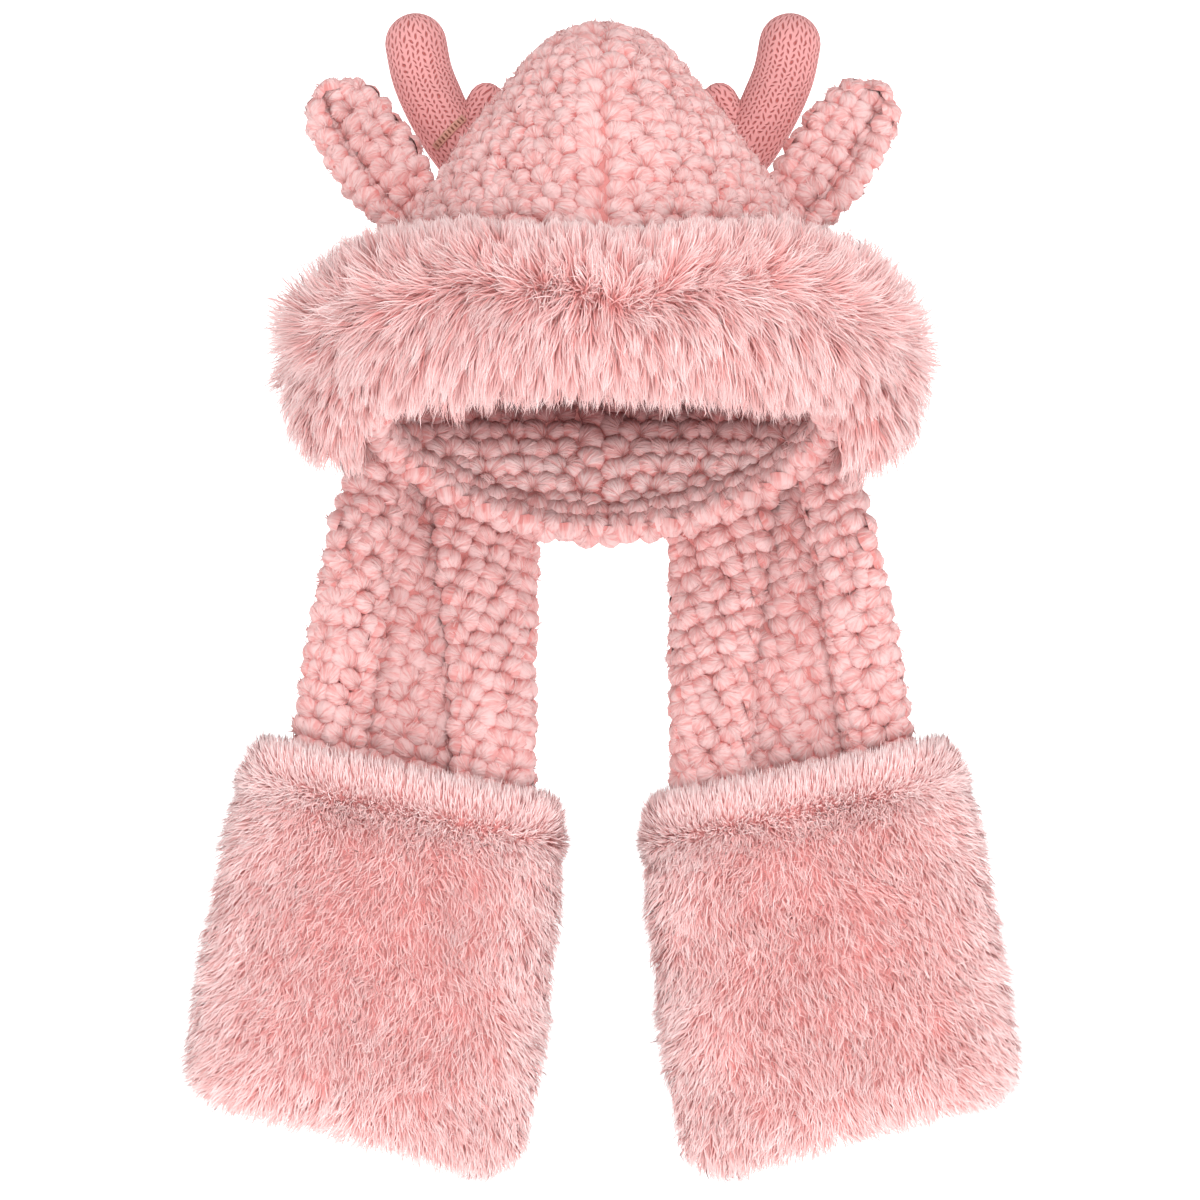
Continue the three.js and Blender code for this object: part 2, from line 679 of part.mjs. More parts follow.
function arm(filled, walls) {
  const rings = [];
  const rows = 11;
  for (let i = 0; i <= rows; i += 1) {
    const along = i / rows;
    const outer = -mix(armTopOuter, armBottomOuter, column(armRows, "along", "flare", along)) + armWall / 2;
    const tucked = Math.max(0, 1 - (1 - along) / armTuckShare);
    const inner = -armInner - armWall / 2 - tucked * armTaper;
    const ridge = armRidgeWidth * column(armRows, "along", "ridge", along) - armWall;
    const flap = armFlapWidth * column(armRows, "along", "flap", along) - armWall;
    const fold = armLayers / 2;
    const line = [
      [outer + ridge, -armLayers],
      [outer + fold, -armLayers],
      [outer + fold * 0.15, -armLayers * 0.75],
      [outer + fold * 0.15, -armLayers * 0.25],
      [outer + fold, 0],
      [mix(outer, inner, 0.35), 0],
      [mix(outer, inner, 0.65), 0],
      [inner - fold, 0],
      [inner - fold * 0.15, -armLayers * 0.25],
      [inner - fold * 0.15, -armLayers * 0.75],
      [inner - fold, -armLayers],
      [inner - flap, -armLayers],
    ];
    const offset = (k, lift) => {
      const [before, after] = [line[Math.max(0, k - 1)], line[Math.min(line.length - 1, k + 1)]];
      const [dx, dy] = [after[0] - before[0], after[1] - before[1]];
      const long = Math.hypot(dx, dy);
      return armPoint(line[k][0] - (dy / long) * lift, line[k][1] + (dx / long) * lift, along);
    };
    const outside = line.map((_, k) => offset(k, armWall / 2));
    const inside = line.map((_, k) => offset(k, -armWall / 2)).reverse();
    rings.push([...outside, ...inside]);
  }
  return bodyOf(solid(loft(rings, ["flat", "flat"])).subtract(filled).subtract(walls));
}

// Materials
const paint = (color, roughness) => new THREE.MeshStandardMaterial({ color, roughness, metalness: 0 });
const fleece = paint(0xeebcbb, 0.95);
const pile = paint(0xf0b9b6, 0.9);
const knit = paint(0xe09290, 0.9);
const gold = paint(0xd9b383, 0.6);

const scarf = new THREE.Group();
function add(name, geometry, material) {
  const mesh = new THREE.Mesh(geometry, material);
  mesh.name = name;
  scarf.add(mesh);
}

const filled = hoodFilled();
const band = solid(loft(brimRings(bandDepth, bandHeight, brimReach - bandShort), ["flat", "flat"]));
const bandRoom = solid(loft(brimRings(bandDepth, bandHeight, brimReach - bandShort, gap), ["flat", "flat"]));
const roll = solid(loft(brimRings(brimSkinDepth, brimSkinHeight, brimReach), ["flat", "flat"]));

add("hood", hoodShell(), fleece);
add("brim_band", bodyOf(band.subtract(filled)), pile);
const locks = wasm.Manifold.union([roll, ...brimLocks()]);
add("brim_fur", bodyOf(locks.subtract(bandRoom).subtract(filled)), pile);
const pieces = [
  ["ear", ear(filled), fleece],
  ["antler", bodyOf(antlerForm(0).subtract(filled)), knit],
  ["arm", arm(filled, pocketWalls()), fleece],
  ["pocket", pocketBag(), pile],
  ["pocket_fur", pocketFur(), pile],
];
pieces.forEach(([name, geometry, material]) => {
  add(`${name}_left`, geometry, material);
  add(`${name}_right`, mirrored(geometry), material);
});
add("antler_tape", tape(), gold);

export default scarf;
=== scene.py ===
"""Animal hood scarf: a fleece hood with a fur brim, ears and antlers, and scarf arms with hand pockets.

Everything is in metres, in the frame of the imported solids: X to the right, Y to the back, Z up, and the
origin is the inside top of the crown.
"""

import math

import bmesh
import bpy
import numpy as np
from bpy.props import FloatProperty, FloatVectorProperty, IntProperty, PointerProperty
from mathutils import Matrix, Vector
from mathutils.kdtree import KDTree


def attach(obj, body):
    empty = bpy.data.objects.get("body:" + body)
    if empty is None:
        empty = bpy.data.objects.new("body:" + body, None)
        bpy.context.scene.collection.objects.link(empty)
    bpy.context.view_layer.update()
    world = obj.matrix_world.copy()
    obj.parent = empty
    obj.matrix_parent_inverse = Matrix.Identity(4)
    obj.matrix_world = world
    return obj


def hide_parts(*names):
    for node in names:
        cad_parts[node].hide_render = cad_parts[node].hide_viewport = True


bl_info = {
    "name": "Animal Hood Scarf",
    "version": (1, 0, 0),
    "blender": (4, 5, 0),
    "location": "View3D > Sidebar > Hood Scarf",
    "description": "Builds a fleece hood scarf with a fur brim, ears, antlers and hand pockets",
    "category": "Add Mesh",
}

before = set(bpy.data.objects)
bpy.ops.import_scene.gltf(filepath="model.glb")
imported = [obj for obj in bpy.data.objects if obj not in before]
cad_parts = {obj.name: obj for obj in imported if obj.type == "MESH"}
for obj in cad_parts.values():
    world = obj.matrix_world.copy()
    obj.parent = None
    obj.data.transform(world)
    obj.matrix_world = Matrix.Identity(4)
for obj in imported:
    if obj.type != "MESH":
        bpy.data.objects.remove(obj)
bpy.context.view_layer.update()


# Settings

def length(name, description, default):
    """A size in metres that the user can change."""
    return FloatProperty(name=name, description=description, default=default, unit="LENGTH", precision=4)


def turn(name, description, degrees):
    """An angle, given in degrees."""
    return FloatProperty(
        name=name, description=description, default=math.radians(degrees), subtype="ANGLE"
    )


def number(name, description, default):
    """A plain number, such as a share or a strength."""
    return FloatProperty(name=name, description=description, default=default)


def count(name, description, default):
    """A whole number of things."""
    return IntProperty(name=name, description=description, default=default, min=1)


def colour(name, description, red, green, blue):
    """A linear colour."""
    return FloatVectorProperty(
        name=name, description=description, default=(red, green, blue), size=3, subtype="COLOR"
    )


class HoodScarfColours(bpy.types.PropertyGroup):
    """Colours of the fleece, pile, yarn and tape"""

    fleece: colour("Fleece", "Crowns of the fleece tufts", 0.83, 0.55, 0.54)
    # The deep fleece colour is painted shade at the feet and pinch of each tuft, and the tone of its
    # streaks.
    fleece_shade_and_streak: colour("Fleece deep", "Feet of the tufts and their streaks", 0.74, 0.27, 0.255)
    # The backing is deeper than the tufts: painted shade in the gaps between them.
    backing: colour("Backing", "Cloth behind the tufts", 0.66, 0.26, 0.245)
    pile_backing: colour("Pile backing", "Cloth that the fur grows on", 0.84, 0.40, 0.385)
    pile_tip: colour("Pile tip", "Tips of the fur", 0.97, 0.77, 0.76)
    # The root colour is partly the fur's own and partly painted shade deep in the pile.
    pile_root_and_shade: colour("Pile root", "Roots of the fur", 0.91, 0.355, 0.335)
    yarn: colour("Yarn", "Raised yarn of the antlers", 0.76, 0.345, 0.34)
    yarn_deep: colour("Yarn deep", "Holes between the stitches", 0.46, 0.11, 0.10)
    tape: colour("Tape", "Woven tape on one antler", 0.64, 0.33, 0.26)
    tape_bar: colour("Tape bar", "Dark bars of the tape", 0.25, 0.10, 0.07)
    lining: colour("Lining", "Plush inside the pockets", 0.70, 0.36, 0.34)
    floor: colour("Floor", "Floor and backdrop", 0.93, 0.93, 0.93)


class HoodScarfHood(bpy.types.PropertyGroup):
    """Sizes of the hood and of its fleece tufts"""

    width: length("Width", "Across the hood at the jaw", 0.280)
    front_depth: length("Front depth", "From the middle plane forward", 0.100)
    back_depth: length("Back depth", "From the middle plane back", 0.105)
    nape_drop: length("Nape drop", "From the inner crown down to the edge at the nape", 0.289)
    side_drop: length("Side drop", "From the inner crown down to the edge at the side", 0.227)
    forehead_drop: length("Forehead drop", "From the inner crown down to the forehead's edge", 0.178)
    wall: length("Wall", "Fleece with its tufts on both sides", 0.013)
    hem_swell: length("Hem swell", "How much the rolled hem stands out on each side", 0.003)
    seam_half: length("Seam half", "From the centre seam to the middle of the tufts beside it", 0.0081)
    seam_pitch: length("Seam pitch", "From one tuft to the next along the seam", 0.0135)
    tuft_across: length("Tuft across", "From one tuft to the next in a row", 0.0120)
    tuft_down: length("Tuft down", "From one row of tufts to the next", 0.0106)
    tuft_rise: length("Tuft rise", "How high a tuft stands on the backing", 0.0062)
    tuft_spread: number("Tuft spread", "Width of a tuft as a share of its pitch", 1.36)
    fuzz: count("Fuzz", "Loose fibres on each tuft", 12)
    fuzz_long: length("Fuzz length", "Length of a loose fibre", 0.0052)


class HoodScarfBrim(bpy.types.PropertyGroup):
    """Sizes of the fur brim"""

    front_drop: length("Front drop", "From the inner crown down to the brim's middle line", 0.153)
    side_drop: length("Side drop", "The same at the brim's ends", 0.184)
    reach: turn("Reach", "From the middle of the face to an end of the brim", 98)
    end_round: turn("End round", "How much of the reach the rounded ends take", 14)
    tilt: turn("Tilt", "How far the brim leans back", 8)
    side_swell: number("Side swell", "Height at the sides as a share of the height in front", 1.24)
    depth: length("Depth", "From the hood to the roots at the brim's middle line", 0.033)
    height: length("Height", "From the lowest to the highest roots", 0.070)
    strand: length("Strand", "Mean length of the pile", 0.034)
    strand_width: length("Strand width", "Width of a strand at its root", 0.00086)
    strands: count("Strands", "Strands in each half of the brim", 30000)


class HoodScarfEars(bpy.types.PropertyGroup):
    """Sizes of the ears"""

    long: length("Length", "From the seat to the tip", 0.099)
    width: length("Width", "Across the ear at its widest", 0.052)
    thick: length("Thickness", "Through the folded ear", 0.019)
    crease: length("Crease", "Depth of the fold in front", 0.008)
    side: length("Side", "From the middle plane to the seat", 0.107)
    back: length("Back", "From the middle plane back to the seat", 0.003)
    drop: length("Drop", "From the inner crown down to the seat", 0.100)
    lean: turn("Lean", "How far the ear leans out", 34)
    twist: turn("Turn", "How far the ear tips back", 12)


class HoodScarfAntlers(bpy.types.PropertyGroup):
    """Sizes of the antlers and of the tape on one of them"""

    thick: length("Thickness", "Across the main beam", 0.036)
    squash: number("Squash", "Depth as a share of the thickness", 0.86)
    tine_thick: length("Tine thickness", "Across the short tine", 0.021)
    back: length("Back", "From the middle plane back to the antler", 0.038)
    stitch_across: length("Stitch across", "Width of a knitted stitch", 0.0030)
    stitch_down: length("Stitch down", "Height of a knitted stitch", 0.0041)
    tape_long: length("Tape length", "Along the tape", 0.025)
    tape_width: length("Tape width", "Across the tape", 0.0045)
    tape_thick: length("Tape thickness", "Through the tape", 0.0012)
    tape_slant: turn("Tape slant", "How steeply the tape rises", 46)
    tape_pitch: length("Tape pitch", "From one bar of the tape to the next", 0.0026)


class HoodScarfArms(bpy.types.PropertyGroup):
    """Sizes of the scarf arms"""

    wall: length("Wall", "Folded fleece, one layer", 0.010)
    fold_gap: length("Fold gap", "Between the folded layers", 0.0015)
    top_outer: length("Top outer", "From the middle plane to the outer edge, at the top", 0.143)
    bottom_outer: length("Bottom outer", "The same at the pocket", 0.186)
    inner: length("Inner", "From the middle plane to the inner edge", 0.039)
    flap: length("Flap", "Width of the strip folded over at the inner edge", 0.048)
    ridge: length("Ridge", "Width of the roll at the outer edge", 0.043)
    lap: length("Lap", "How far the arm goes up behind the hem", 0.034)
    tuck: length("Tuck", "How far the arm goes down into the pocket", 0.028)
    taper: length("Taper", "How much narrower it gets in the pocket", 0.007)
    wrap: length("Wrap", "Half width of the hood's back that the arm's top follows", 0.1596)
    top_back: length("Top back", "From the middle plane back to the arm's top", 0.0882)
    tuft_across: length("Tuft across", "From one tuft to the next in a row", 0.0122)
    tuft_down: length("Tuft down", "From one row of tufts to the next", 0.0110)


class HoodScarfPockets(bpy.types.PropertyGroup):
    """Sizes of the hand pockets"""

    width: length("Width", "Across the pocket with its pile", 0.191)
    height: length("Height", "From the mouth to the bottom", 0.214)
    depth: length("Depth", "Through the pocket with its pile", 0.070)
    side: length("Side", "From the middle plane to the pocket's middle at the mouth", 0.114)
    drop: length("Drop", "From the inner crown down to the mouth", 0.422)
    back: length("Back", "From the middle plane back to the pocket's middle", 0.033)
    lean: turn("Lean", "How far the pocket's side leans out", 8.8)
    top_slope: turn("Top slope", "Slope of the mouth", 11.3)
    bottom_slope: turn("Bottom slope", "Slope of the bottom", 15.3)
    corner: length("Corner", "Radius of the bottom corners", 0.027)
    pile: length("Pile", "From the roots to the pile's outline", 0.011)
    bag_wall: length("Bag wall", "Cloth of the bag with its plush", 0.004)
    cuff: length("Cuff", "Height of the roll at the mouth", 0.020)
    cuff_rise: length("Cuff rise", "How far the bag's lip lies below the pile's", 0.007)
    strand: length("Strand", "Mean length of the pile", 0.0146)
    strand_width: length("Strand width", "Width of a strand at its root", 0.00090)
    strands: count("Strands", "Strands on each pocket", 46000)


class HoodScarfStudio(bpy.types.PropertyGroup):
    """Camera, lights and floor"""

    distance: length("Distance", "From the camera to the middle plane", 2.6)
    view_width: length("View width", "What the view takes in at the middle plane", 0.690)
    centre_side: length("Centre side", "The view's centre across", -0.0017)
    centre_height: length("Centre height", "The view's centre up", -0.3195)
    floor_drop: length("Floor drop", "From the origin down to the floor", 0.72)
    sky: number("Sky", "Strength of the light from all round", 0.52)
    key: number("Key", "Watts of the large soft light above the camera", 28.0)
    front_light: number("Front light", "Watts of the soft light beside the camera", 15.0)
    side_light: number("Side light", "Watts of the soft lights at both sides", 5.0)


# Curves and surfaces

def mix(a, b, share):
    """A value between a and b."""
    return a + (b - a) * share


def rounded(value, power):
    """A sine or cosine with its sign kept and its size raised to a power, which squares up a circle."""
    return np.sign(value) * np.abs(value) ** power


def named_rows(names, *rows):
    """A table: its columns' names in one line, then its rows."""
    return [dict(zip(names.split(), row)) for row in rows]


def column(table, along, name, at):
    """A smooth curve through one named column of a table, read at places along another."""
    xs = np.array([row[along] for row in table], float)
    ys = np.array([row[name] for row in table], float)
    slope = np.diff(ys) / np.diff(xs)
    tangent = np.empty(len(xs))
    tangent[0] = slope[0]
    tangent[-1] = slope[-1]
    product = slope[:-1] * slope[1:]
    total = slope[:-1] + slope[1:]
    safe = np.where(product <= 0, 1.0, total)
    tangent[1:-1] = np.where(product <= 0, 0.0, 2 * product / safe)
    at = np.clip(np.asarray(at, float), xs[0], xs[-1])
    i = np.clip(np.searchsorted(xs, at, side="right") - 1, 0, len(xs) - 2)
    step = xs[i + 1] - xs[i]
    t = (at - xs[i]) / step
    start = (2 * t**3 - 3 * t**2 + 1) * ys[i] + (t**3 - 2 * t**2 + t) * step * tangent[i]
    return start + (3 * t**2 - 2 * t**3) * ys[i + 1] + (t**3 - t**2) * step * tangent[i + 1]


def points(x, y, z):
    """Points as rows of three, from arrays that broadcast together."""
    return np.stack(np.broadcast_arrays(x, y, z), axis=-1).astype(float)


def unit(vectors):
    """Vectors brought to length 1."""
    long = np.linalg.norm(vectors, axis=-1, keepdims=True)
    return vectors / np.maximum(long, 1e-12)


def frames(surface, u, v, step_u, step_v):
    """Places, directions across and down, and outward normals of a surface at arrays of u and v."""
    place = surface(u, v)
    across = unit(surface(u + step_u, v) - surface(u - step_u, v))
    down = unit(surface(u, v + step_v) - surface(u, v - step_v))
    normal = unit(np.cross(down, across))
    return place, across, np.cross(across, normal), normal


def run_along(path):
    """How far along a path of points each point lies."""
    steps = np.linalg.norm(np.diff(path, axis=0), axis=1)
    return np.concatenate([[0.0], np.cumsum(steps)])


def spread(path, pitch, shift):
    """Places at even steps along a path, as shares of its points, shifted by a share of a step."""
    far = run_along(path)
    many = max(1, int(round(far[-1] / pitch)))
    at = (np.arange(many) + 0.5 + shift) / many
    at = at[at < 1.0]
    return np.interp(at * far[-1], far, np.linspace(0, 1, len(path)))


CROWN = named_rows(
    "down side front back",
    (0.0, 0.0, 0.0, 0.0),
    (0.006, 0.095, 0.15, 0.16),
    (0.02, 0.17, 0.29, 0.31),
    (0.06, 0.29, 0.49, 0.52),
    (0.12, 0.398, 0.64, 0.69),
    (0.179, 0.503, 0.74, 0.79),
    (0.245, 0.607, 0.82, 0.87),
    (0.301, 0.693, 0.87, 0.92),
    (0.368, 0.786, 0.92, 0.96),
    (0.474, 0.886, 0.97, 1.0),
    (0.606, 0.957, 1.0, 0.98),
    (0.722, 0.985, 0.98, 0.88),
    (0.795, 1.0, 0.94, 0.78),
    (0.904, 1.0, 0.85, 0.62),
    (1.0, 1.0, 0.75, 0.48),
)


def crown_span(hood):
    """Height from the outer crown down to the edge at the nape."""
    return hood.nape_drop + hood.wall


def edge_drop(hood, azimuth):
    """How far down the hood's edge lies, 0 at the face and a half turn at the nape."""
    front = mix(hood.forehead_drop, hood.side_drop, np.abs(np.sin(azimuth)) ** 5)
    back = mix(hood.side_drop, hood.nape_drop, np.abs(np.cos(azimuth)) ** 1.7)
    return np.where(np.cos(azimuth) > 0, front, back)


def edge_share(hood, azimuth):
    """The same as a share of the crown's span, counted from the outer crown."""
    return (edge_drop(hood, azimuth) + hood.wall) / crown_span(hood)


def crown_sizes(hood, down):
    """Half the width of the hood's outer form, and its depths in front and behind."""
    side = hood.width / 2 * column(CROWN, "down", "side", down)
    front = hood.front_depth * column(CROWN, "down", "front", down)
    back = hood.back_depth * column(CROWN, "down", "back", down)
    return side, front, back


def crown_point(hood, azimuth, down):
    """A point of the hood's outer form."""
    side, front, back = crown_sizes(hood, down)
    depth = np.where(np.cos(azimuth) > 0, front, back)
    height = hood.wall - np.asarray(down) * crown_span(hood)
    return points(side * np.sin(azimuth), -depth * np.cos(azimuth), height)


def crown_frames(hood, azimuth, down):
    """Places and directions on the hood's outer form."""
    step = 0.004
    return frames(lambda u, v: crown_point(hood, u, np.abs(v)), azimuth, down, step, step)


def crown_lifted(hood, azimuth, down, lift):
    """A point off the hood's outer form."""
    place, _, _, normal = crown_frames(hood, azimuth, down)
    return place + normal * np.asarray(lift)[..., None]


# Meshes

def link(obj, material, body="root"):
    """Puts a new object in the scene, on a body, with its material."""
    bpy.context.scene.collection.objects.link(obj)
    obj.data.materials.append(material)
    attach(obj, body)
    return obj


def mesh_piece(name, bm, material, smooth=True):
    """An object from a bmesh, its faces smooth unless told otherwise."""
    mesh = bpy.data.meshes.new(name)
    for face in bm.faces:
        face.smooth = smooth
    bm.to_mesh(mesh)
    bm.free()
    return link(bpy.data.objects.new(name, mesh), material)


def mapped_grid(columns, rows, place):
    """A grid whose points are moved to place(u, v), with u and v from 0 to 1 across and along it."""
    bm = bmesh.new()
    bm.loops.layers.uv.new("UVMap")
    bmesh.ops.create_grid(bm, x_segments=columns, y_segments=rows, size=0.5, calc_uvs=True)
    flat = np.array([vert.co[:] for vert in bm.verts])
    moved = place(flat[:, 0] + 0.5, flat[:, 1] + 0.5)
    for vert, where in zip(bm.verts, moved):
        vert.co = where
    return bm


def close_up(bm, distance=1e-5):
    """Welds a grid's seam and poles and turns its faces outward."""
    bmesh.ops.remove_doubles(bm, verts=bm.verts, dist=distance)
    loose = [vert for vert in bm.verts if not vert.link_faces]
    bmesh.ops.delete(bm, geom=loose, context="VERTS")
    bmesh.ops.recalc_face_normals(bm, faces=bm.faces)
    return bm


def cap(bm):
    """Welds a grid's seam and fills what is still open at its ends."""
    bmesh.ops.remove_doubles(bm, verts=bm.verts, dist=1e-5)
    rims = [edge for edge in bm.edges if len(edge.link_faces) == 1]
    bmesh.ops.holes_fill(bm, edges=rims, sides=0)
    return bm


def write_attribute(mesh, name, values):
    """Stores a number on each vertex, for the materials."""
    layer = mesh.attributes.new(name, "FLOAT", "POINT")
    layer.data.foreach_set("value", values)


def joined_copies(name, material, form, place, axes, size, tint, rng=None):
    """One mesh of many copies of a small form: each at its place, on its own three axes, in its own size."""
    verts = np.array([vert.co[:] for vert in form.verts])
    uv_layer = form.loops.layers.uv.active
    corners = np.array([[loop.vert.index for loop in face.loops] for face in form.faces], dtype=object)
    many = len(place)
    uneven = rng.normal(0, 0.022, (many, len(verts), 3)) if rng else 0.0
    local = (verts[None, :, :] + uneven) * size[:, None, :]
    moved = place[:, None, :] + np.einsum("nvk,nkc->nvc", local, axes)
    sizes = np.array([len(face) for face in corners])
    order = np.concatenate([np.array(face) for face in corners])
    index = (order[None, :] + np.arange(many)[:, None] * len(verts)).ravel()
    mesh = bpy.data.meshes.new(name)
    fill_mesh(mesh, moved.reshape(-1, 3), index, np.tile(sizes, many))
    if uv_layer:
        uv = np.array([loop[uv_layer].uv[:] for face in form.faces for loop in face.loops])
        layer = mesh.uv_layers.new(name="UVMap")
        layer.data.foreach_set("uv", np.tile(uv, (many, 1)).ravel())
    write_attribute(mesh, "tint", np.repeat(tint, len(verts)))
    return link(bpy.data.objects.new(name, mesh), material)


def fill_mesh(mesh, verts, index, sizes):
    """Fills a mesh from arrays: the corners of its faces in order, and how many each face has."""
    mesh.vertices.add(len(verts))
    mesh.vertices.foreach_set("co", np.ascontiguousarray(verts, dtype=np.float32).ravel())
    mesh.loops.add(len(index))
    mesh.loops.foreach_set("vertex_index", index.astype(np.int32))
    starts = np.concatenate([[0], np.cumsum(sizes)[:-1]])
    mesh.polygons.add(len(sizes))
    mesh.polygons.foreach_set("loop_start", starts.astype(np.int32))
    mesh.polygons.foreach_set("use_smooth", np.ones(len(sizes), dtype=bool))
    mesh.update(calc_edges=True)


# Fleece tufts

def tuft_form(columns=10, rows=6):
    """A puff that fans out from a pinch at its lower edge. Its UV map is its own plan."""
    pinch_y, pinch_reach = -0.9, 0.5
    floor = -0.1
    bm = bmesh.new()
    bmesh.ops.create_uvsphere(bm, u_segments=columns, v_segments=rows, radius=1.0)
    under = [vert for vert in bm.verts if vert.co.z < floor]
    bmesh.ops.delete(bm, geom=under, context="VERTS")
    uv_layer = bm.loops.layers.uv.new("UVMap")
    for face in bm.faces:
        for loop in face.loops:
            loop[uv_layer].uv = (0.5 + loop.vert.co.x / 2, 0.5 + loop.vert.co.y / 2)
    for vert in bm.verts:
        near = math.hypot(vert.co.x, vert.co.y - pinch_y)
        pinch = math.exp(-((near / pinch_reach) ** 2))
        open_share = min(1, max(0, (vert.co.y + 1) / 1.1))
        vert.co.z *= (1.0 - 0.6 * pinch) * (1 + 0.14 * vert.co.y)
        vert.co.x *= 0.76 + 0.24 * math.sin(open_share * math.pi / 2)
        vert.co.y += 0.1 * pinch
    bm.verts.index_update()
    return bm


class TuftField:
    """Gathers tufts row by row and makes them one piece, with loose fibres on them as another."""

    def __init__(self, seed):
        self.random = np.random.default_rng(seed)
        self.parts = []

    def paired(self, many, row):
        """Turns of the tufts in a row: neighbours fan away from the stitch that they share."""
        side = np.where((np.arange(many) + row) % 2 == 0, -1.0, 1.0)
        return side * (0.95 + self.random.normal(0, 0.28, many))

    def add(self, place, across, down, normal, pitch, rise, spread_share, sunk, turned=0.0):
        """Tufts at places, sunk by a share of their rise; pitch is across and down, turned in radians."""
        many = len(place)
        if many == 0:
            return
        rng = self.random
        turned = np.asarray(turned) + np.zeros(many)
        spin = (turned + rng.normal(0, 0.22, many))[:, None]
        right = across * np.cos(spin) + down * np.sin(spin)
        up = np.cross(normal, right)
        grow = 1 + rng.normal(0, 0.08, (many, 3))
        # A puff turned on its side still fills the room it has in its row: width and height change places.
        level = np.sin(turned) ** 2
        high, wide = pitch[1] + np.zeros(many), pitch[0] + np.zeros(many)
        size = np.stack([
            mix(wide, high, level) / 2 * spread_share,
            mix(high, wide, level) / 2 * spread_share * 1.05,
            rise + np.zeros(many),
        ], axis=-1) * grow
        loose = rng.normal(0, 0.0006, (many, 2))
        moved = place - normal * (rise * sunk) + across * loose[:, :1] + down * loose[:, 1:]
        self.parts.append((moved, np.stack([right, up, normal], axis=1), size, rng.random(many)))

    def gathered(self):
        """Places, axes, sizes and tints of all the tufts so far."""
        return [np.concatenate([part[k] for part in self.parts]) for k in range(4)]

    def build(self, name, material, form=None):
        """Makes the tufts one piece, each a copy of a form."""
        place, axes, size, tint = self.gathered()
        form = form or tuft_form()
        piece = joined_copies(name, material, form, place, axes, size, tint, self.random)
        form.free()
        return piece

    def fuzz(self, name, material, hood):
        """Loose fibres that stand off the tufts."""
        rng = self.random
        place, axes, size, tint = (np.repeat(part, hood.fuzz, axis=0) for part in self.gathered())
        many = len(place)
        # Feet fan out from the pinch over the puff's plan, and stay inside its rim and under its skin.
        widest_fan, pinch, rim, under_skin = 1.15, 0.86, 0.93, 0.94
        fan = rng.uniform(-widest_fan, widest_fan, many)
        far = rng.uniform(0.55, 1.65, many)
        x, y = np.sin(fan) * far, np.cos(fan) * far - pinch
        over = np.maximum(1.0, np.hypot(x, y) / rim)
        x, y = x / over, y / over
        high = np.sqrt(np.maximum(0.02, 1 - x**2 - y**2))
        local = np.stack([x * 0.92, y, high], axis=-1)
        root = place + np.einsum("nk,nkc->nc", local * size * under_skin, axes)
        normal = unit(np.einsum("nk,nkc->nc", local / size, axes))
        # The fibres run on along the puff, away from the pinch, and lift off it.
        run = axes[:, 0] * np.sin(fan)[:, None] + axes[:, 1] * np.cos(fan)[:, None]
        run = unit(run - normal * np.einsum("nc,nc->n", run, normal)[:, None])
        way = unit(run + 0.50 * normal + rng.normal(0, 0.16, (many, 3)))
        long = hood.fuzz_long * (0.55 + 0.75 * rng.random(many))
        tip = root + way * long[:, None]
        width = 0.0006 + 0.0006 * rng.random(many)
        tint = np.clip(tint * 0.3 + 0.7 * rng.random(many), 0, 1)
        return strands(name, material, root, tip, way * 0.0, normal, width, 1, rng, tint)


# How many rows' height the level rows leave free above the edge, for the hem's own rows.
HEM_ROOM = 1.9
# How far the tufts of the hood and arms are sunk into the backing, as a share of their rise.
SUNK = 0.88


def stagger(row):
    """How far a row of tufts is shifted, as a share of their pitch, so that rows alternate."""
    return 0.5 * (row % 2) - 0.25


def seam_azimuth(hood, down, off):
    """The azimuth at which the hood's form lies that far from the middle plane."""
    half = np.maximum(hood.width / 2 * column(CROWN, "down", "side", down), off * 1.02)
    return np.arcsin(np.clip(off / half, 0, 1))


def down_at(hood, far):
    """Shares down the crown at which its side outline has run that far from the top."""
    share = np.linspace(0, 1, 400)
    run = run_along(crown_point(hood, np.full(len(share), math.pi / 2), share))
    return np.interp(far, run, share), run[-1]


def under_brim(hood, azimuth, down):
    """Whether the brim's backing hides a place of the hood's outer side."""
    brim = bpy.context.scene.hood_scarf_brim
    drop = brim_drop(brim, azimuth)
    height = np.asarray(down) * crown_span(hood) - hood.wall
    inside = np.abs(height - drop) < brim.height / 2 * brim_swell(brim, azimuth) * 0.86
    return inside & (np.abs(azimuth) < brim.reach * 0.97)


def hood_rows(hood, field, lift, inner, first, last=1.0):
    """Level rows of tufts on one side of the hood's wall, from first down to last or its edge."""
    _, total = down_at(hood, 0)
    rows = int(total / hood.tuft_down)
    seam = hood.seam_half * 1.8
    for row in range(rows + 1):
        down, _ = down_at(hood, (row + 0.5) * hood.tuft_down)
        down = float(down)
        if down < first or down >= last:
            continue
        after = float(down_at(hood, (row + 1.5) * hood.tuft_down)[0])
        start = float(seam_azimuth(hood, down, seam))
        turns = np.linspace(start, math.pi - start, 160)
        path = crown_point(hood, turns, np.full(len(turns), down))
        for mirror in (1, -1):
            share = spread(path, hood.tuft_across, stagger(row))
            azimuth = mirror * np.interp(share, np.linspace(0, 1, len(turns)), turns)
            this_row = crown_point(hood, azimuth, np.full(len(azimuth), down))
            next_row = crown_point(hood, azimuth, np.full(len(azimuth), after))
            step = np.linalg.norm(next_row - this_row, axis=1)
            step = np.clip(step, 0.6 * hood.tuft_down, 1.5 * hood.tuft_down)
            turned = field.paired(len(azimuth), row)
            left = (edge_share(hood, azimuth) - down) * crown_span(hood)
            keep = left > HEM_ROOM * hood.tuft_down
            if not inner:
                keep &= ~under_brim(hood, azimuth, down)
            hood_tufts(hood, field, azimuth[keep], np.full(keep.sum(), down), lift, inner,
                       (hood.tuft_across, step[keep]), None, turned[keep])


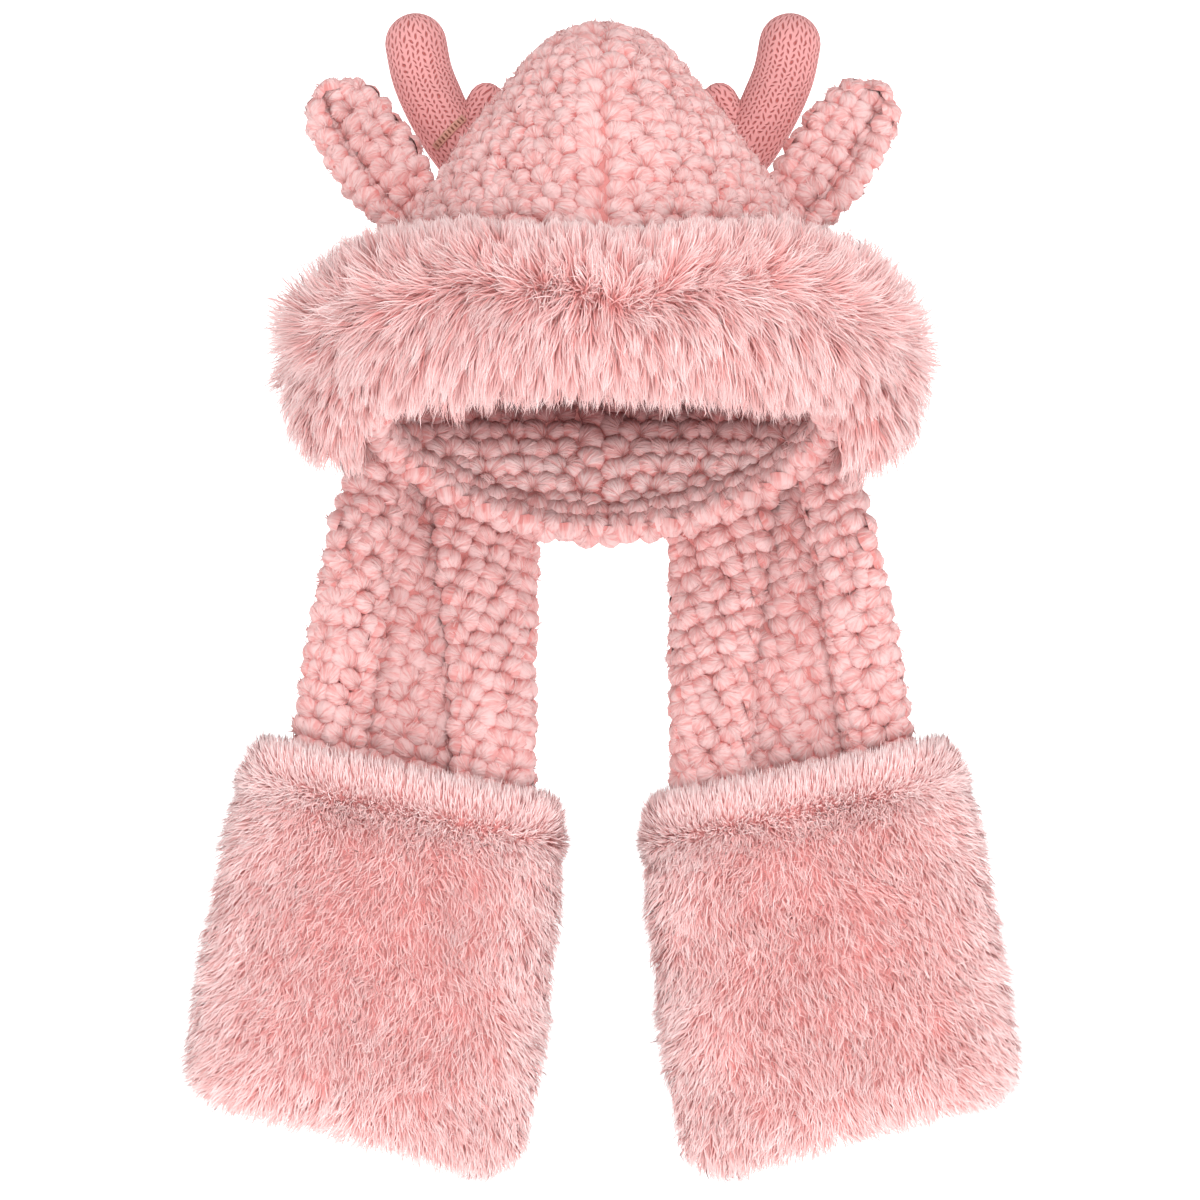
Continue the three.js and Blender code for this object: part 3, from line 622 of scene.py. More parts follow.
def hood_tufts(hood, field, azimuth, down, lift, inner, pitch=None, rise=None, turned=0.0):
    """Adds tufts at places on the hood, facing outward or inward."""
    place, across, along, normal = crown_frames(hood, azimuth, down)
    side = -1 if inner else 1
    pitch = pitch or (hood.tuft_across, hood.tuft_down)
    place = place + normal * np.asarray(lift)[..., None]
    field.add(place, across * side, along, normal * side, pitch, rise or hood.tuft_rise,
              hood.tuft_spread, SUNK, turned)


def hood_seams(hood, field, lift, inner, first, last=1.0):
    """The larger tufts on both sides of the centre seam, front and back."""
    _, total = down_at(hood, 0)
    rows = int(total / hood.seam_pitch)
    for row in range(rows + 1):
        for back in (0, 1):
            for mirror in (1, -1):
                far = (row + 0.35 + 0.5 * (mirror < 0)) * hood.seam_pitch
                down = float(down_at(hood, far)[0])
                if down < first or down >= last:
                    continue
                azimuth = float(seam_azimuth(hood, down, hood.seam_half))
                azimuth = mirror * (math.pi - azimuth if back else azimuth)
                left = (float(edge_share(hood, azimuth)) - down) * crown_span(hood)
                if left < HEM_ROOM * hood.tuft_down:
                    continue
                if not inner and bool(under_brim(hood, azimuth, down)):
                    continue
                pitch = (hood.tuft_across * 1.15, hood.seam_pitch * 1.05)
                hood_tufts(hood, field, np.array([azimuth]), np.array([down]), lift, inner, pitch,
                           hood.tuft_rise * (1.0 if inner else 1.32), mirror * (-1 if inner else 1) * 0.8)


def hem_rows(hood, field):
    """Rows that follow the rolled hem: long tufts wrap its rim from both sides, with one row above each."""
    turns = np.linspace(-math.pi, math.pi, 900)
    # Off counts rows' height above the edge; face is 1 outside, -1 inside and 0 under the edge.
    rows = [
        {"off": 1.55, "face": 1, "rim": 0},
        {"off": 0.68, "face": 1, "rim": 1},
        {"off": 0.68, "face": -1, "rim": 1},
        {"off": 0.22, "face": 0, "rim": 1},
        {"off": 1.55, "face": -1, "rim": 0},
    ]
    wide = hood.tuft_across * 1.04
    for index, row in enumerate(rows):
        off = row["off"] * hood.tuft_down / crown_span(hood)
        path = crown_point(hood, turns, edge_share(hood, turns) - off)
        at = spread(path, wide, stagger(index))
        azimuth = np.interp(at, np.linspace(0, 1, len(turns)), turns)
        down = edge_share(hood, azimuth) - off
        if row["face"] != -1:
            keep = ~under_brim(hood, azimuth, down)
            azimuth, down = azimuth[keep], down[keep]
        place, _, along, normal = crown_frames(hood, azimuth, down)
        out = normal * row["face"]
        lift = hood.hem_swell if row["rim"] else hood.hem_swell * 0.8
        place = place - normal * (hood.wall / 2) + out * (hood.wall / 2 + lift)
        if row["face"] == 0:
            facing = along
            fan = normal * np.where(np.arange(len(place)) % 2 == 0, 1.0, -1.0)[:, None]
            pitch = (wide, hood.wall * 1.1)
            rise = hood.tuft_rise * 1.25
        elif row["rim"]:
            outward, downward = 0.92, 0.40
            facing = unit(out * outward + along * downward)
            fan = unit(along * outward - out * downward)
            pitch = (wide, hood.tuft_down * 1.30)
            rise = hood.tuft_rise * 1.3
        else:
            facing = out
            fan = along
            pitch = (wide, hood.tuft_down * 1.2)
            rise = hood.tuft_rise * 1.12
        sunk = 0.86 if row["face"] else 0.5
        field.add(place, np.cross(fan, facing), fan * -1, facing, pitch, rise, hood.tuft_spread, sunk)


def hood_backing(hood, material):
    """The cloth that carries the tufts: a thin shell between the two fields."""
    plain = [0.0, 0.004, 0.02, 0.05, 0.10, 0.17, 0.26, 0.36, 0.48, 0.60, 0.72, 0.84]
    levels = [{"share": level, "side": 1} for level in plain]
    levels += [{"share": 0.93, "side": 1.6}, {"share": 0.965, "side": 1.8}, {"share": 0.985, "side": 0}]
    rows = levels + [{"share": level["share"], "side": -1} for level in reversed(levels[:-1])]
    share = np.array([row["share"] for row in rows])
    side = np.array([row["side"] for row in rows], float)
    half = hood.wall / 2 - hood.tuft_rise * 0.72
    last = len(rows) - 1

    def place(u, v):
        azimuth = u * 2 * math.pi
        at = np.interp(v * last, np.arange(last + 1), share)
        lift = -hood.wall / 2 + half * np.interp(v * last, np.arange(last + 1), side)
        return crown_lifted(hood, azimuth, np.maximum(at * edge_share(hood, azimuth), 1e-5), lift)

    bm = close_up(mapped_grid(96, last, place), 2e-4)
    return mesh_piece("hood_backing", bm, material)


# Brim

def brim_drop(brim, azimuth):
    """How far below the inner crown the brim's middle line lies."""
    aside = np.where(np.abs(azimuth) > math.pi / 2, 1, np.sin(np.abs(azimuth)) ** 7)
    return mix(brim.front_drop, brim.side_drop, aside)


def brim_swell(brim, azimuth):
    """The brim's height as a share of its height in front."""
    return mix(1, brim.side_swell, np.abs(np.sin(azimuth)) ** 5)


def brim_frame(hood, brim, azimuth):
    """Foot, outward and rising directions and swell of the brim's section."""
    down = (brim_drop(brim, azimuth) + hood.wall) / crown_span(hood)
    foot, _, _, normal = crown_frames(hood, azimuth, down)
    out = unit(normal * np.array([1, 1, 0]))
    rise = np.array([0, 0, 1]) * math.cos(brim.tilt) - out * math.sin(brim.tilt)
    return foot, out, rise, brim_swell(brim, azimuth)


def brim_surface(hood, brim, azimuth, angle, depth, height):
    """A point of the brim's roll; the angle is 0 at its middle line and a quarter turn at its top."""
    foot, out, rise, swell = brim_frame(hood, brim, azimuth)
    left = (brim.reach - np.abs(azimuth)) / brim.end_round
    size = np.sqrt(np.maximum(0.03, 1 - np.clip(1 - left, 0, 1) ** 2))
    away = np.maximum(0, np.cos(angle)) ** 0.8 * depth * size
    raised = np.sin(angle) * height / 2 * swell * size
    return foot + out * away[..., None] + rise * raised[..., None]


def scatter(surface, u_range, v_range, many, rng, cells=(90, 48), weight=None):
    """Places strewn evenly over a surface: arrays of u and v."""
    us = np.linspace(*u_range, cells[0] + 1)
    vs = np.linspace(*v_range, cells[1] + 1)
    grid_u, grid_v = np.meshgrid(us, vs, indexing="ij")
    place = surface(grid_u.ravel(), grid_v.ravel()).reshape(cells[0] + 1, cells[1] + 1, 3)
    side_u = place[1:, :-1] - place[:-1, :-1]
    side_v = place[:-1, 1:] - place[:-1, :-1]
    area = np.linalg.norm(np.cross(side_u, side_v), axis=-1)
    if weight is not None:
        area = area * weight(grid_u[:-1, :-1], grid_v[:-1, :-1])
    chance = area.ravel() / area.sum()
    cell = rng.choice(area.size, size=many, p=chance)
    i, j = np.unravel_index(cell, area.shape)
    u = us[i] + (us[1] - us[0]) * rng.random(many)
    v = vs[j] + (vs[1] - vs[0]) * rng.random(many)
    return u, v


def nearest(targets, queries):
    """For each query point the index of the nearest target."""
    tree = KDTree(len(targets))
    for index, place in enumerate(targets):
        tree.insert(place, index)
    tree.balance()
    return np.array([tree.find(place)[1] for place in queries])


def strands(name, material, root, tip, bow, normal, width, segments, rng, tint):
    """Tapered ribbons from roots to tips, bowed by an offset in the middle, as one mesh."""
    many = len(root)
    heading = unit(tip - root)
    flat = unit(np.cross(heading, normal) + 1e-6)
    upright = unit(np.cross(flat, heading))
    roll = rng.normal(0, 0.55, many)[:, None]
    side = flat * np.cos(roll) + upright * np.sin(roll)
    rows = []
    shares = np.linspace(0, 1, segments + 1)
    taper = {1: [1.0, 0.0], 2: [1.0, 0.66, 0.0], 3: [1.0, 0.88, 0.52, 0.0]}[segments]
    for share, slim in zip(shares, taper):
        middle = root + (tip - root) * share + bow * (4 * share * (1 - share))
        if slim == 0:
            rows.append(middle[:, None, :])
            continue
        half = side * (width * slim / 2)[:, None]
        rows.append(np.stack([middle - half, middle + half], axis=1))
    verts = np.concatenate(rows, axis=1)
    each = verts.shape[1]
    faces = []
    for k in range(segments - 1):
        faces.append([2 * k, 2 * k + 1, 2 * k + 3, 2 * k + 2])
    faces.append([2 * segments - 2, 2 * segments - 1, 2 * segments])
    sizes = np.tile([len(face) for face in faces], many)
    order = np.concatenate([np.array(face) for face in faces])
    index = (order[None, :] + np.arange(many)[:, None] * each).ravel()
    mesh = bpy.data.meshes.new(name)
    fill_mesh(mesh, verts.reshape(-1, 3), index, sizes)
    along = np.repeat(shares[:-1], 2).tolist() + [1.0]
    write_attribute(mesh, "along", np.tile(along, many))
    write_attribute(mesh, "tint", np.repeat(tint, each))
    turned = np.cross(side, heading)
    turned = turned * np.sign(np.einsum("nc,nc->n", turned, normal))[:, None]
    soft = unit(np.repeat(normal, each, axis=0) + 0.45 * np.repeat(turned, each, axis=0))
    mesh.normals_split_custom_set_from_vertices(soft.tolist())
    return link(bpy.data.objects.new(name, mesh), material)


def brim_above(azimuth, down):
    """How far above the wandering parting a place on the roll lies, as an angle."""
    parting = math.radians(7)
    wander = 0.13 * np.sin(azimuth * 6.0 + 1.2)
    return -down - parting + wander + 0.08 * np.sin(azimuth * 15.0)


def brim_cheek(aside, above):
    """How much a place belongs to the cheek, where the brim's lower edge turns down at each side."""
    return np.exp(-(((aside - 0.66) / 0.17) ** 2)) * np.clip(-above / 0.7, 0, 1)


def brim_lengths(brim, azimuth, above):
    """Length of the pile as a share of its mean: long at the sides, short at the middle's top edge."""
    aside = np.abs(azimuth) / brim.reach
    edge = 1 - 0.6 * np.clip((above - 0.5) / 0.8, 0, 1) * (1 - aside**2)
    upper = mix(0.56, 1.55, aside**1.8) * edge
    lower = mix(0.74, 1.08, aside) * (1 - 0.55 * brim_cheek(aside, above))
    return np.where(above > 0, upper, lower)


def brim_flow(hood, brim, azimuth, down, stray):
    """Roots of the brim's pile and the way it is combed: up above the parting, down below, and outward.

    Stray turns each strand a little as if it grew from higher or lower, so that strands cross the parting.
    """
    def surface(u, v):
        return brim_surface(hood, brim, u, -v, brim.depth, brim.height)

    place, across, along, normal = frames(surface, azimuth, down, 0.01, 0.02)
    _, _, rise, _ = brim_frame(hood, brim, azimuth)
    outward = across * (azimuth / (np.abs(azimuth) + 0.22))[:, None]
    above = brim_above(azimuth, down)
    parting_width = math.radians(16)
    comb = np.tanh((above + stray) / parting_width)
    near = np.exp(-((above / math.radians(15)) ** 2))
    aside = np.abs(azimuth) / brim.reach
    upward = unit(0.75 * rise - 0.45 * along)
    downward = unit(-0.85 * rise + 0.35 * along)
    vertical = np.where(comb[:, None] > 0, upward, downward) * np.abs(comb)[:, None]
    stand = 0.36 + 0.24 * near + 0.5 * brim_cheek(aside, above)
    sweep = 0.10 + 0.66 * aside**0.9 + 0.28 * near
    way = unit(normal * stand[:, None] + vertical + outward * sweep[:, None])
    return place, normal, way, above


def brim_pile(name, material, hood, brim, side, seed):
    """The long pile of one half of the brim, in pointed locks."""
    rng = np.random.default_rng(seed)
    quarter = math.pi / 2
    stray_turn = math.radians(9)
    strands_in_lock = 40

    def surface(u, v):
        return brim_surface(hood, brim, u, -v, brim.depth, brim.height)

    def weight(u, v):
        """More strands near the parting, where they part and would show the cloth."""
        return 1 + 1.1 * np.exp(-((brim_above(u, v) / math.radians(14)) ** 2))

    reach = (0.0, brim.reach) if side > 0 else (-brim.reach, 0.0)
    azimuth, down = scatter(surface, reach, (-quarter, quarter), brim.strands, rng, weight=weight)
    stray = rng.normal(0, stray_turn, brim.strands)
    place, normal, way, above = brim_flow(hood, brim, azimuth, down, stray)
    locks = int(brim.strands / strands_in_lock)
    lock_u, lock_v = scatter(surface, reach, (-quarter, quarter), locks, rng, weight=weight)
    stray = rng.normal(0, stray_turn, locks)
    lock_place, _, lock_way, lock_above = brim_flow(hood, brim, lock_u, lock_v, stray)
    # Locks point their own ways near the parting and lie in order away from it.
    messy = 0.14 + 0.36 * np.exp(-((lock_above / 0.35) ** 2))
    lock_way = unit(lock_way + rng.normal(0, 1, (locks, 3)) * messy[:, None])
    lock_long = brim.strand * (1 + rng.normal(0, 0.13, locks))
    lock_long *= brim_lengths(brim, lock_u, lock_above)
    lock_tip = lock_place + lock_way * lock_long[:, None]
    lock_tint = rng.random(locks)
    mine = nearest(lock_place, place)
    # Under the locks lies a shorter, looser pile.
    under = rng.random(brim.strands) < 0.3
    long = brim.strand * (1 + rng.normal(0, 0.16, brim.strands)) * np.where(under, 0.55, 1.0)
    long *= brim_lengths(brim, azimuth, above)
    own = place + unit(way + rng.normal(0, 0.11, way.shape)) * long[:, None]
    pull = np.where(under, 0.1, 0.58 + rng.normal(0, 0.14, brim.strands))
    tip = own + (lock_tip[mine] - own) * pull[:, None]
    sag = 0.10 * (1 - np.abs(above) / 2)
    tip[:, 2] -= sag * long
    bow = normal * (0.11 * long)[:, None] + rng.normal(0, 0.06, way.shape) * long[:, None]
    width = brim.strand_width * (0.7 + 0.6 * rng.random(brim.strands))
    # Paler toward the sides and the top edge as painted light, deeper toward the lower edge as painted
    # shade.
    tint = 0.52 * rng.random(brim.strands) + 0.30 * lock_tint[mine] + np.where(under, -0.2, 0.0)
    tint += 0.34 * (np.abs(azimuth) / brim.reach) ** 3 + 0.20 * np.clip(-down / quarter, 0, 1) ** 3
    tint -= 0.28 * np.clip(down / quarter, 0, 1) ** 1.5
    tint = np.clip(tint, 0, 1)
    root = place - normal * 0.0012
    return strands(name, material, root, tip, bow, normal, width, 3, rng, tint)


def brim_backing(hood, brim, material):
    """The padded roll that the long pile grows on."""
    front_share = 0.75
    inset = 0.98
    back_sunk = 0.006

    def place(u, v):
        azimuth = mix(-brim.reach, brim.reach, u)
        front = v < front_share
        angle = np.where(front, mix(-90, 90, v / front_share),
                         mix(90, -90, (v - front_share) / (1 - front_share)))
        angle = np.radians(angle)
        depth = np.where(front, brim.depth * inset, 0.0)
        spot = brim_surface(hood, brim, azimuth, angle, 1.0, brim.height * inset)
        _, out, _, _ = brim_frame(hood, brim, azimuth)
        flat = brim_surface(hood, brim, azimuth, angle, 0.0, brim.height * inset)
        away = (spot - flat) * depth[:, None]
        return flat + away - out * np.where(front, 0.0, back_sunk)[:, None]

    return mesh_piece("brim_backing", close_up(cap(mapped_grid(72, 32, place))), material)


# Ears

EAR_OUTLINE = named_rows(
    "along half",
    (-0.27, 0.62),
    (0.0, 0.78),
    (0.25, 0.95),
    (0.45, 1.0),
    (0.62, 0.98),
    (0.8, 0.88),
    (0.92, 0.64),
    (0.985, 0.28),
)
EAR_SECTION = named_rows(
    "across depth crease",
    (-1.0, 0.0, 0),
    (-0.86, -0.36, 0),
    (-0.66, -0.44, 0),
    (-0.42, -0.34, 1),
    (-0.16, -0.48, 0),
    (0.3, -0.5, 0),
    (0.76, -0.4, 0),
    (1.0, 0.0, 0),
    (0.76, 0.4, 0),
    (0.25, 0.5, 0),
    (-0.3, 0.5, 0),
    (-0.8, 0.38, 0),
)


def loop_column(table, name, share):
    """A smooth closed curve through one named column of a table, at shares of the way round."""
    values = np.array([row[name] for row in table], float)
    many = len(values)
    at = np.mod(share, 1.0) * many
    i = np.floor(at).astype(int)
    t = at - i
    before, here, there, after = (values[(i + k) % many] for k in (-1, 0, 1, 2))
    return 0.5 * (2 * here + (there - before) * t
                  + (2 * before - 5 * here + 4 * there - after) * t**2
                  + (3 * here - before - 3 * there + after) * t**3)


def ear_surface(ears, share, along, slim=1.0):
    """A point of the left ear: shares of the way round its section and of its length; slim thins it."""
    half = column(EAR_OUTLINE, "along", "half", along)
    half = half * np.sqrt(np.clip((1.03 - along) / 0.06, 0.02, 1))
    thin = np.minimum(1, 0.35 + half * 0.7) * ears.thick * slim
    crease = loop_column(EAR_SECTION, "crease", share) * ears.crease * np.minimum(1, half**2) * 0.42
    half = half * mix(0.72, 1.0, slim)
    across = loop_column(EAR_SECTION, "across", share) * half * ears.width / 2
    depth = loop_column(EAR_SECTION, "depth", share) * thin + crease
    sine, cosine = math.sin(ears.lean), math.cos(ears.lean)
    x = -sine * along * ears.long + cosine * across
    z = cosine * along * ears.long + sine * across
    tip_back = -ears.twist
    y = depth * math.cos(tip_back) - z * math.sin(tip_back)
    z = depth * math.sin(tip_back) + z * math.cos(tip_back)
    return points(x - ears.side, y + ears.back, z - ears.drop)


def ear_frames(ears, share, along):
    """Places and directions on the left ear, with normals that point out of it."""
    place, across, down, normal = frames(
        lambda u, v: ear_surface(ears, u, np.minimum(v, 1.0)), share, along, 0.01, 0.02)
    probe = frames(lambda u, v: ear_surface(ears, u, v), np.array([0.75]), np.array([0.5]), 0.01, 0.02)
    if probe[3][0][1] < 0:
        normal = -normal
    return place, across, down, normal


def mirrored(side, *arrays):
    """The arrays as they are for the left side, and with X turned round for the right."""
    return [array * np.array([-side, 1, 1]) for array in arrays]


def inside_hood(hood, place, margin=0.97):
    """Whether places lie within the hood's outer form."""
    down = (hood.wall - place[:, 2]) / crown_span(hood)
    side, front, back = crown_sizes(hood, down)
    depth = np.where(place[:, 1] < 0, front, back)
    reach = (place[:, 0] / np.maximum(side, 1e-4)) ** 2 + (place[:, 1] / np.maximum(depth, 1e-4)) ** 2
    azimuth = np.arctan2(place[:, 0], -place[:, 1])
    return (reach < margin**2) & (down > 0) & (down < edge_share(hood, azimuth))


def ear_tufts(hood, ears, side, seed, material, fuzz_material, name):
    """The tufts of an ear: rows round it, and three more that close its tip."""
    field = TuftField(seed)
    pitch = (0.0110, 0.0104)
    rows = int(ears.long / pitch[1]) + 1
    tip = 0.985
    # Each row starts at the fold, where the section's table has its crease.
    fold = 3 / len(EAR_SECTION)
    for row in range(-1, rows):
        along = (row + 0.45) * pitch[1] / ears.long
        if along > tip:
            continue
        us = fold + np.linspace(0, 1, 240)
        run = run_along(ear_surface(ears, us, np.full(len(us), along)))
        many = max(3, int(round(run[-1] / pitch[0]))) - row % 2
        rest = np.linspace(pitch[0] * 0.95, run[-1] - pitch[0] * 0.95, many)
        share = np.interp(np.concatenate([[0.0], rest]), run, us)
        place, across, down, normal = ear_frames(ears, share, np.full(len(share), along))
        keep = ~inside_hood(hood, place)
        turned = field.paired(len(share), row)[keep]
        place, across, normal = place[keep], across[keep], normal[keep]
        down = np.cross(across, normal)
        flat = mirrored(side, place, across, down, normal)
        field.add(*flat, pitch, hood.tuft_rise * 1.1, hood.tuft_spread, 0.84, turned)
    # The tip's three tufts stand in a triangle: two in front and one behind.
    offs = np.array([[-0.005, -0.003], [0.005, -0.003], [0.0, 0.004]])
    lean_way = np.array([-math.sin(ears.lean), 0.0, math.cos(ears.lean)])
    side_way = np.array([math.cos(ears.lean), 0.0, math.sin(ears.lean)])
    centre = ear_surface(ears, np.linspace(0, 1, 13)[:12], np.full(12, 0.97)).mean(axis=0)
    offset = side_way * offs[:, :1] + np.array([0.0, 1.0, 0.0]) * offs[:, 1:]
    normal = unit(lean_way + offset * 90)
    across = unit(np.cross(normal, np.array([0.0, 1.0, 0.0])))
    flat = mirrored(side, centre + offset, across, np.cross(across, normal), normal)
    field.add(*flat, pitch, hood.tuft_rise, hood.tuft_spread, 0.6)
    return field.build(name, material), field.fuzz(name + "_fuzz", fuzz_material, hood)


def ear_backing(ears, side, material, name):
    """The folded cloth of an ear, under its tufts."""
    foot, tip = -0.1, 0.88
    slim = 0.38

    def place(u, v):
        return mirrored(side, ear_surface(ears, u, mix(foot, tip, v), slim))[0]

    return mesh_piece(name, close_up(cap(mapped_grid(40, 26, place))), material)


# Antlers

ANTLER_ROUTE = named_rows(
    "at side drop",
    (0.0, 0.0590, 0.0881),
    (0.24, 0.0770, 0.0650),
    (0.42, 0.0890, 0.0480),
    (0.64, 0.0990, 0.0289),
    (0.85, 0.1060, 0.0110),
    (1.0, 0.1091, -0.0049),
)
TINE_ROUTE = named_rows(
    "at side drop",
    (0.0, 0.0890, 0.0578),
    (0.52, 0.0770, 0.0431),
    (1.0, 0.0680, 0.0280),
)


def tube_surface(antlers, route, thick, share, along):
    """A point of a stuffed tube: a share of the way round, and 0 to 1 along it and over its tip."""
    tip_part = 0.14
    on = np.clip(along / (1 - tip_part), 0, 1)
    bend = np.clip((along - (1 - tip_part)) / tip_part, 0, 1) * math.pi / 2
    side = column(route, "at", "side", on)
    drop = column(route, "at", "drop", on)
    ahead = np.minimum(1, on + 0.01)
    behind = np.maximum(0, ahead - 0.02)
    ahead_side = column(route, "at", "side", ahead) - column(route, "at", "side", behind)
    ahead_drop = column(route, "at", "drop", ahead) - column(route, "at", "drop", behind)
    heading = unit(points(-ahead_side, 0, -ahead_drop))
    across = points(heading[..., 2], 0, -heading[..., 0])
    slim = 0.9 + 0.1 * np.minimum(1, on * 1.5)
    size = np.cos(bend) * slim
    middle = points(-side, antlers.back, -drop) + heading * (np.sin(bend) * thick / 2)[..., None]
    round_turn = share * 2 * math.pi
    place = middle + across * (np.cos(round_turn) * size * thick / 2)[..., None]
    place[..., 1] += np.sin(round_turn) * size * antlers.squash * thick / 2
    return place


def antler(antlers, side, material, name):
    """The main beam and the short tine, both stuffed and knitted."""
    whole = bmesh.new()
    whole.loops.layers.uv.new("UVMap")
    parts = [(ANTLER_ROUTE, antlers.thick, 56, 64), (TINE_ROUTE, antlers.tine_thick, 36, 30)]
    holder = bpy.data.meshes.new(name + "_part")
    for route, thick, columns, rows in parts:
        bm = mapped_grid(columns, rows, lambda u, v: mirrored(
            side, tube_surface(antlers, route, thick, u, v))[0])
        uv_layer = bm.loops.layers.uv.active
        long = 0.0
        for a, b in zip(route, route[1:]):
            long += math.hypot(b["side"] - a["side"], b["drop"] - a["drop"])
        stitches = round(math.pi * thick * 0.93 / antlers.stitch_across)
        courses = (long + thick * 0.75) / antlers.stitch_down
        for face in bm.faces:
            for loop in face.loops:
                u, v = loop[uv_layer].uv
                loop[uv_layer].uv = (u * stitches, v * courses)
        close_up(cap(bm))
        bm.to_mesh(holder)
        bm.free()
        whole.from_mesh(holder)
    bpy.data.meshes.remove(holder)
    return mesh_piece(name, whole, material)


def tape_pieces(antlers, tape_material, bar_material):
    """The woven tape over the front of the left antler, with its bars."""
    slant = antlers.tape_slant
    along = np.array([math.cos(slant), 0, math.sin(slant)])
    down = np.array([math.sin(slant), 0, -math.cos(slant)])
    crotch = ANTLER_ROUTE[2]
    half = antlers.thick / 2
    middle = np.array([-crotch["side"], antlers.back, -crotch["drop"]])

    def on_front(off, across, lift):
        front = np.sqrt(np.maximum(0, 1 - (off / half) ** 2)) * half * antlers.squash
        place = middle + np.multiply.outer(off, along) + np.multiply.outer(across, down)
        place[..., 1] -= front + lift
        return place

    def place(u, v):
        off = (u - 0.5) * antlers.tape_long
        ring = v * 2 * math.pi
        across = rounded(np.cos(ring), 0.4) * antlers.tape_width / 2
        lift = antlers.tape_thick * (0.5 + 0.5 * rounded(np.sin(ring), 0.5))
        return on_front(off, across, lift)

    tape = mesh_piece("antler_tape_band", close_up(cap(mapped_grid(24, 16, place))), tape_material)
    bar = bmesh.new()
    bmesh.ops.create_cube(bar, size=1.0)
    bmesh.ops.bevel(bar, geom=bar.edges[:], offset=0.28, offset_type="OFFSET", segments=2,
                    affect="EDGES", profile=0.5, material=-1)
    bar.verts.index_update()
    many = int(antlers.tape_long / antlers.tape_pitch)
    off = (np.arange(many) + 0.5 - many / 2) * antlers.tape_pitch
    where = on_front(off, np.zeros(many), antlers.tape_thick)
    ahead = unit(on_front(off + 1e-4, np.zeros(many), 0.0) - on_front(off - 1e-4, np.zeros(many), 0.0))
    aside = np.tile(down, (many, 1))
    axes = np.stack([ahead, aside, np.cross(ahead, aside)], axis=1)
    size = np.tile([antlers.tape_pitch * 0.42, antlers.tape_width * 0.62, 0.0007], (many, 1))
    bars = joined_copies("antler_tape_bars", bar_material, bar, where, axes, size, np.full(many, 0.5))
    bar.free()
    return tape, bars


# Hand pockets

# How far a pocket's level section is squared up, at its sides and on its faces.
SIDE_POWER = 0.55
FACE_POWER = 0.62
POCKET_ROWS = named_rows(
    "down full wide",
    (0.0, 0.9, 0.98),
    (0.22, 1.0, 1.01),
    (0.5, 0.98, 1.04),
    (0.74, 0.88, 1.05),
    (1.0, 0.8, 1.05),
)
CUFF_ROWS = named_rows(
    "at inset",
    (0.0, 0.8),
    (0.1, 0.25),
    (0.45, 0.0),
    (0.9, 0.03),
    (1.3, 0.08),
    (1.9, 0.04),
)


def pocket_spot(pockets, across, down):
    """Across and down in shares of the left pocket's half width and height."""
    slope = mix(pockets.top_slope, pockets.bottom_slope, down)
    aside = across * pockets.width / 2
    x = -pockets.side - math.sin(pockets.lean) * down * pockets.height + aside * np.cos(slope)
    z = -pockets.drop - math.cos(pockets.lean) * down * pockets.height - aside * np.sin(slope)
    return points(x, pockets.back, z)


def pocket_turns():
    """Angles round a pocket's level section at even steps of its length."""
    half_width, half_depth = 0.085, 0.022
    angle = np.linspace(0, 2 * math.pi, 4001)
    x = rounded(np.cos(angle), SIDE_POWER) * half_width
    y = rounded(np.sin(angle), FACE_POWER) * half_depth
    run = np.concatenate([[0], np.cumsum(np.hypot(np.diff(x), np.diff(y)))])
    return run / run[-1], angle


TURN_SHARES, TURN_ANGLES = pocket_turns()


def pocket_run(pockets, margin):
    """How far it is down a pocket's side and round its bottom corner, and where the corner begins."""
    corner = pockets.corner - margin / 2
    straight = pockets.height - margin - corner
    return straight, straight + corner * math.pi / 2, corner


def pocket_surface(pockets, share, far, margin):
    """A point of the left pocket's form: a share of the way round, and metres down from the mouth."""
    bottom_full = 0.46
    closing_run = 0.006
    thinnest = 0.0015
    straight, end, corner = pocket_run(pockets, float(np.mean(margin)))
    bend = np.clip((far - straight) / corner, 0, math.pi / 2)
    down_far = np.where(far < straight, far, straight + corner * np.sin(bend))
    down = down_far / pockets.height
    squeeze = corner * (1 - np.cos(bend))
    full = mix(column(POCKET_ROWS, "down", "full", down), bottom_full, np.sin(bend) ** 2)
    half = pockets.width / 2 * column(POCKET_ROWS, "down", "wide", down) - margin - squeeze
    closing = np.clip(1 - (far - end) / closing_run, 0, 1) ** 0.5
    thick = np.maximum(thinnest, pockets.depth * full / 2 - margin) * closing
    turned = np.interp(np.mod(share, 1.0), TURN_SHARES, TURN_ANGLES)
    across = rounded(np.cos(turned), SIDE_POWER) * half
    place = pocket_spot(pockets, across / (pockets.width / 2), down)
    place[..., 1] += rounded(np.sin(turned), FACE_POWER) * thick
    return place


def root_margin(pockets, far):
    """How far inside the pile's outline its roots lie, down the pocket."""
    inset = column(CUFF_ROWS, "at", "inset", far / pockets.cuff)
    return pockets.pile * (inset + 0.52)


def pocket_roots(pockets, share, far):
    """Places and directions where the pile grows."""
    return frames(
        lambda u, v: pocket_surface(pockets, u, np.abs(v), root_margin(pockets, np.abs(v))),
        share, far, 0.004, 0.0015)


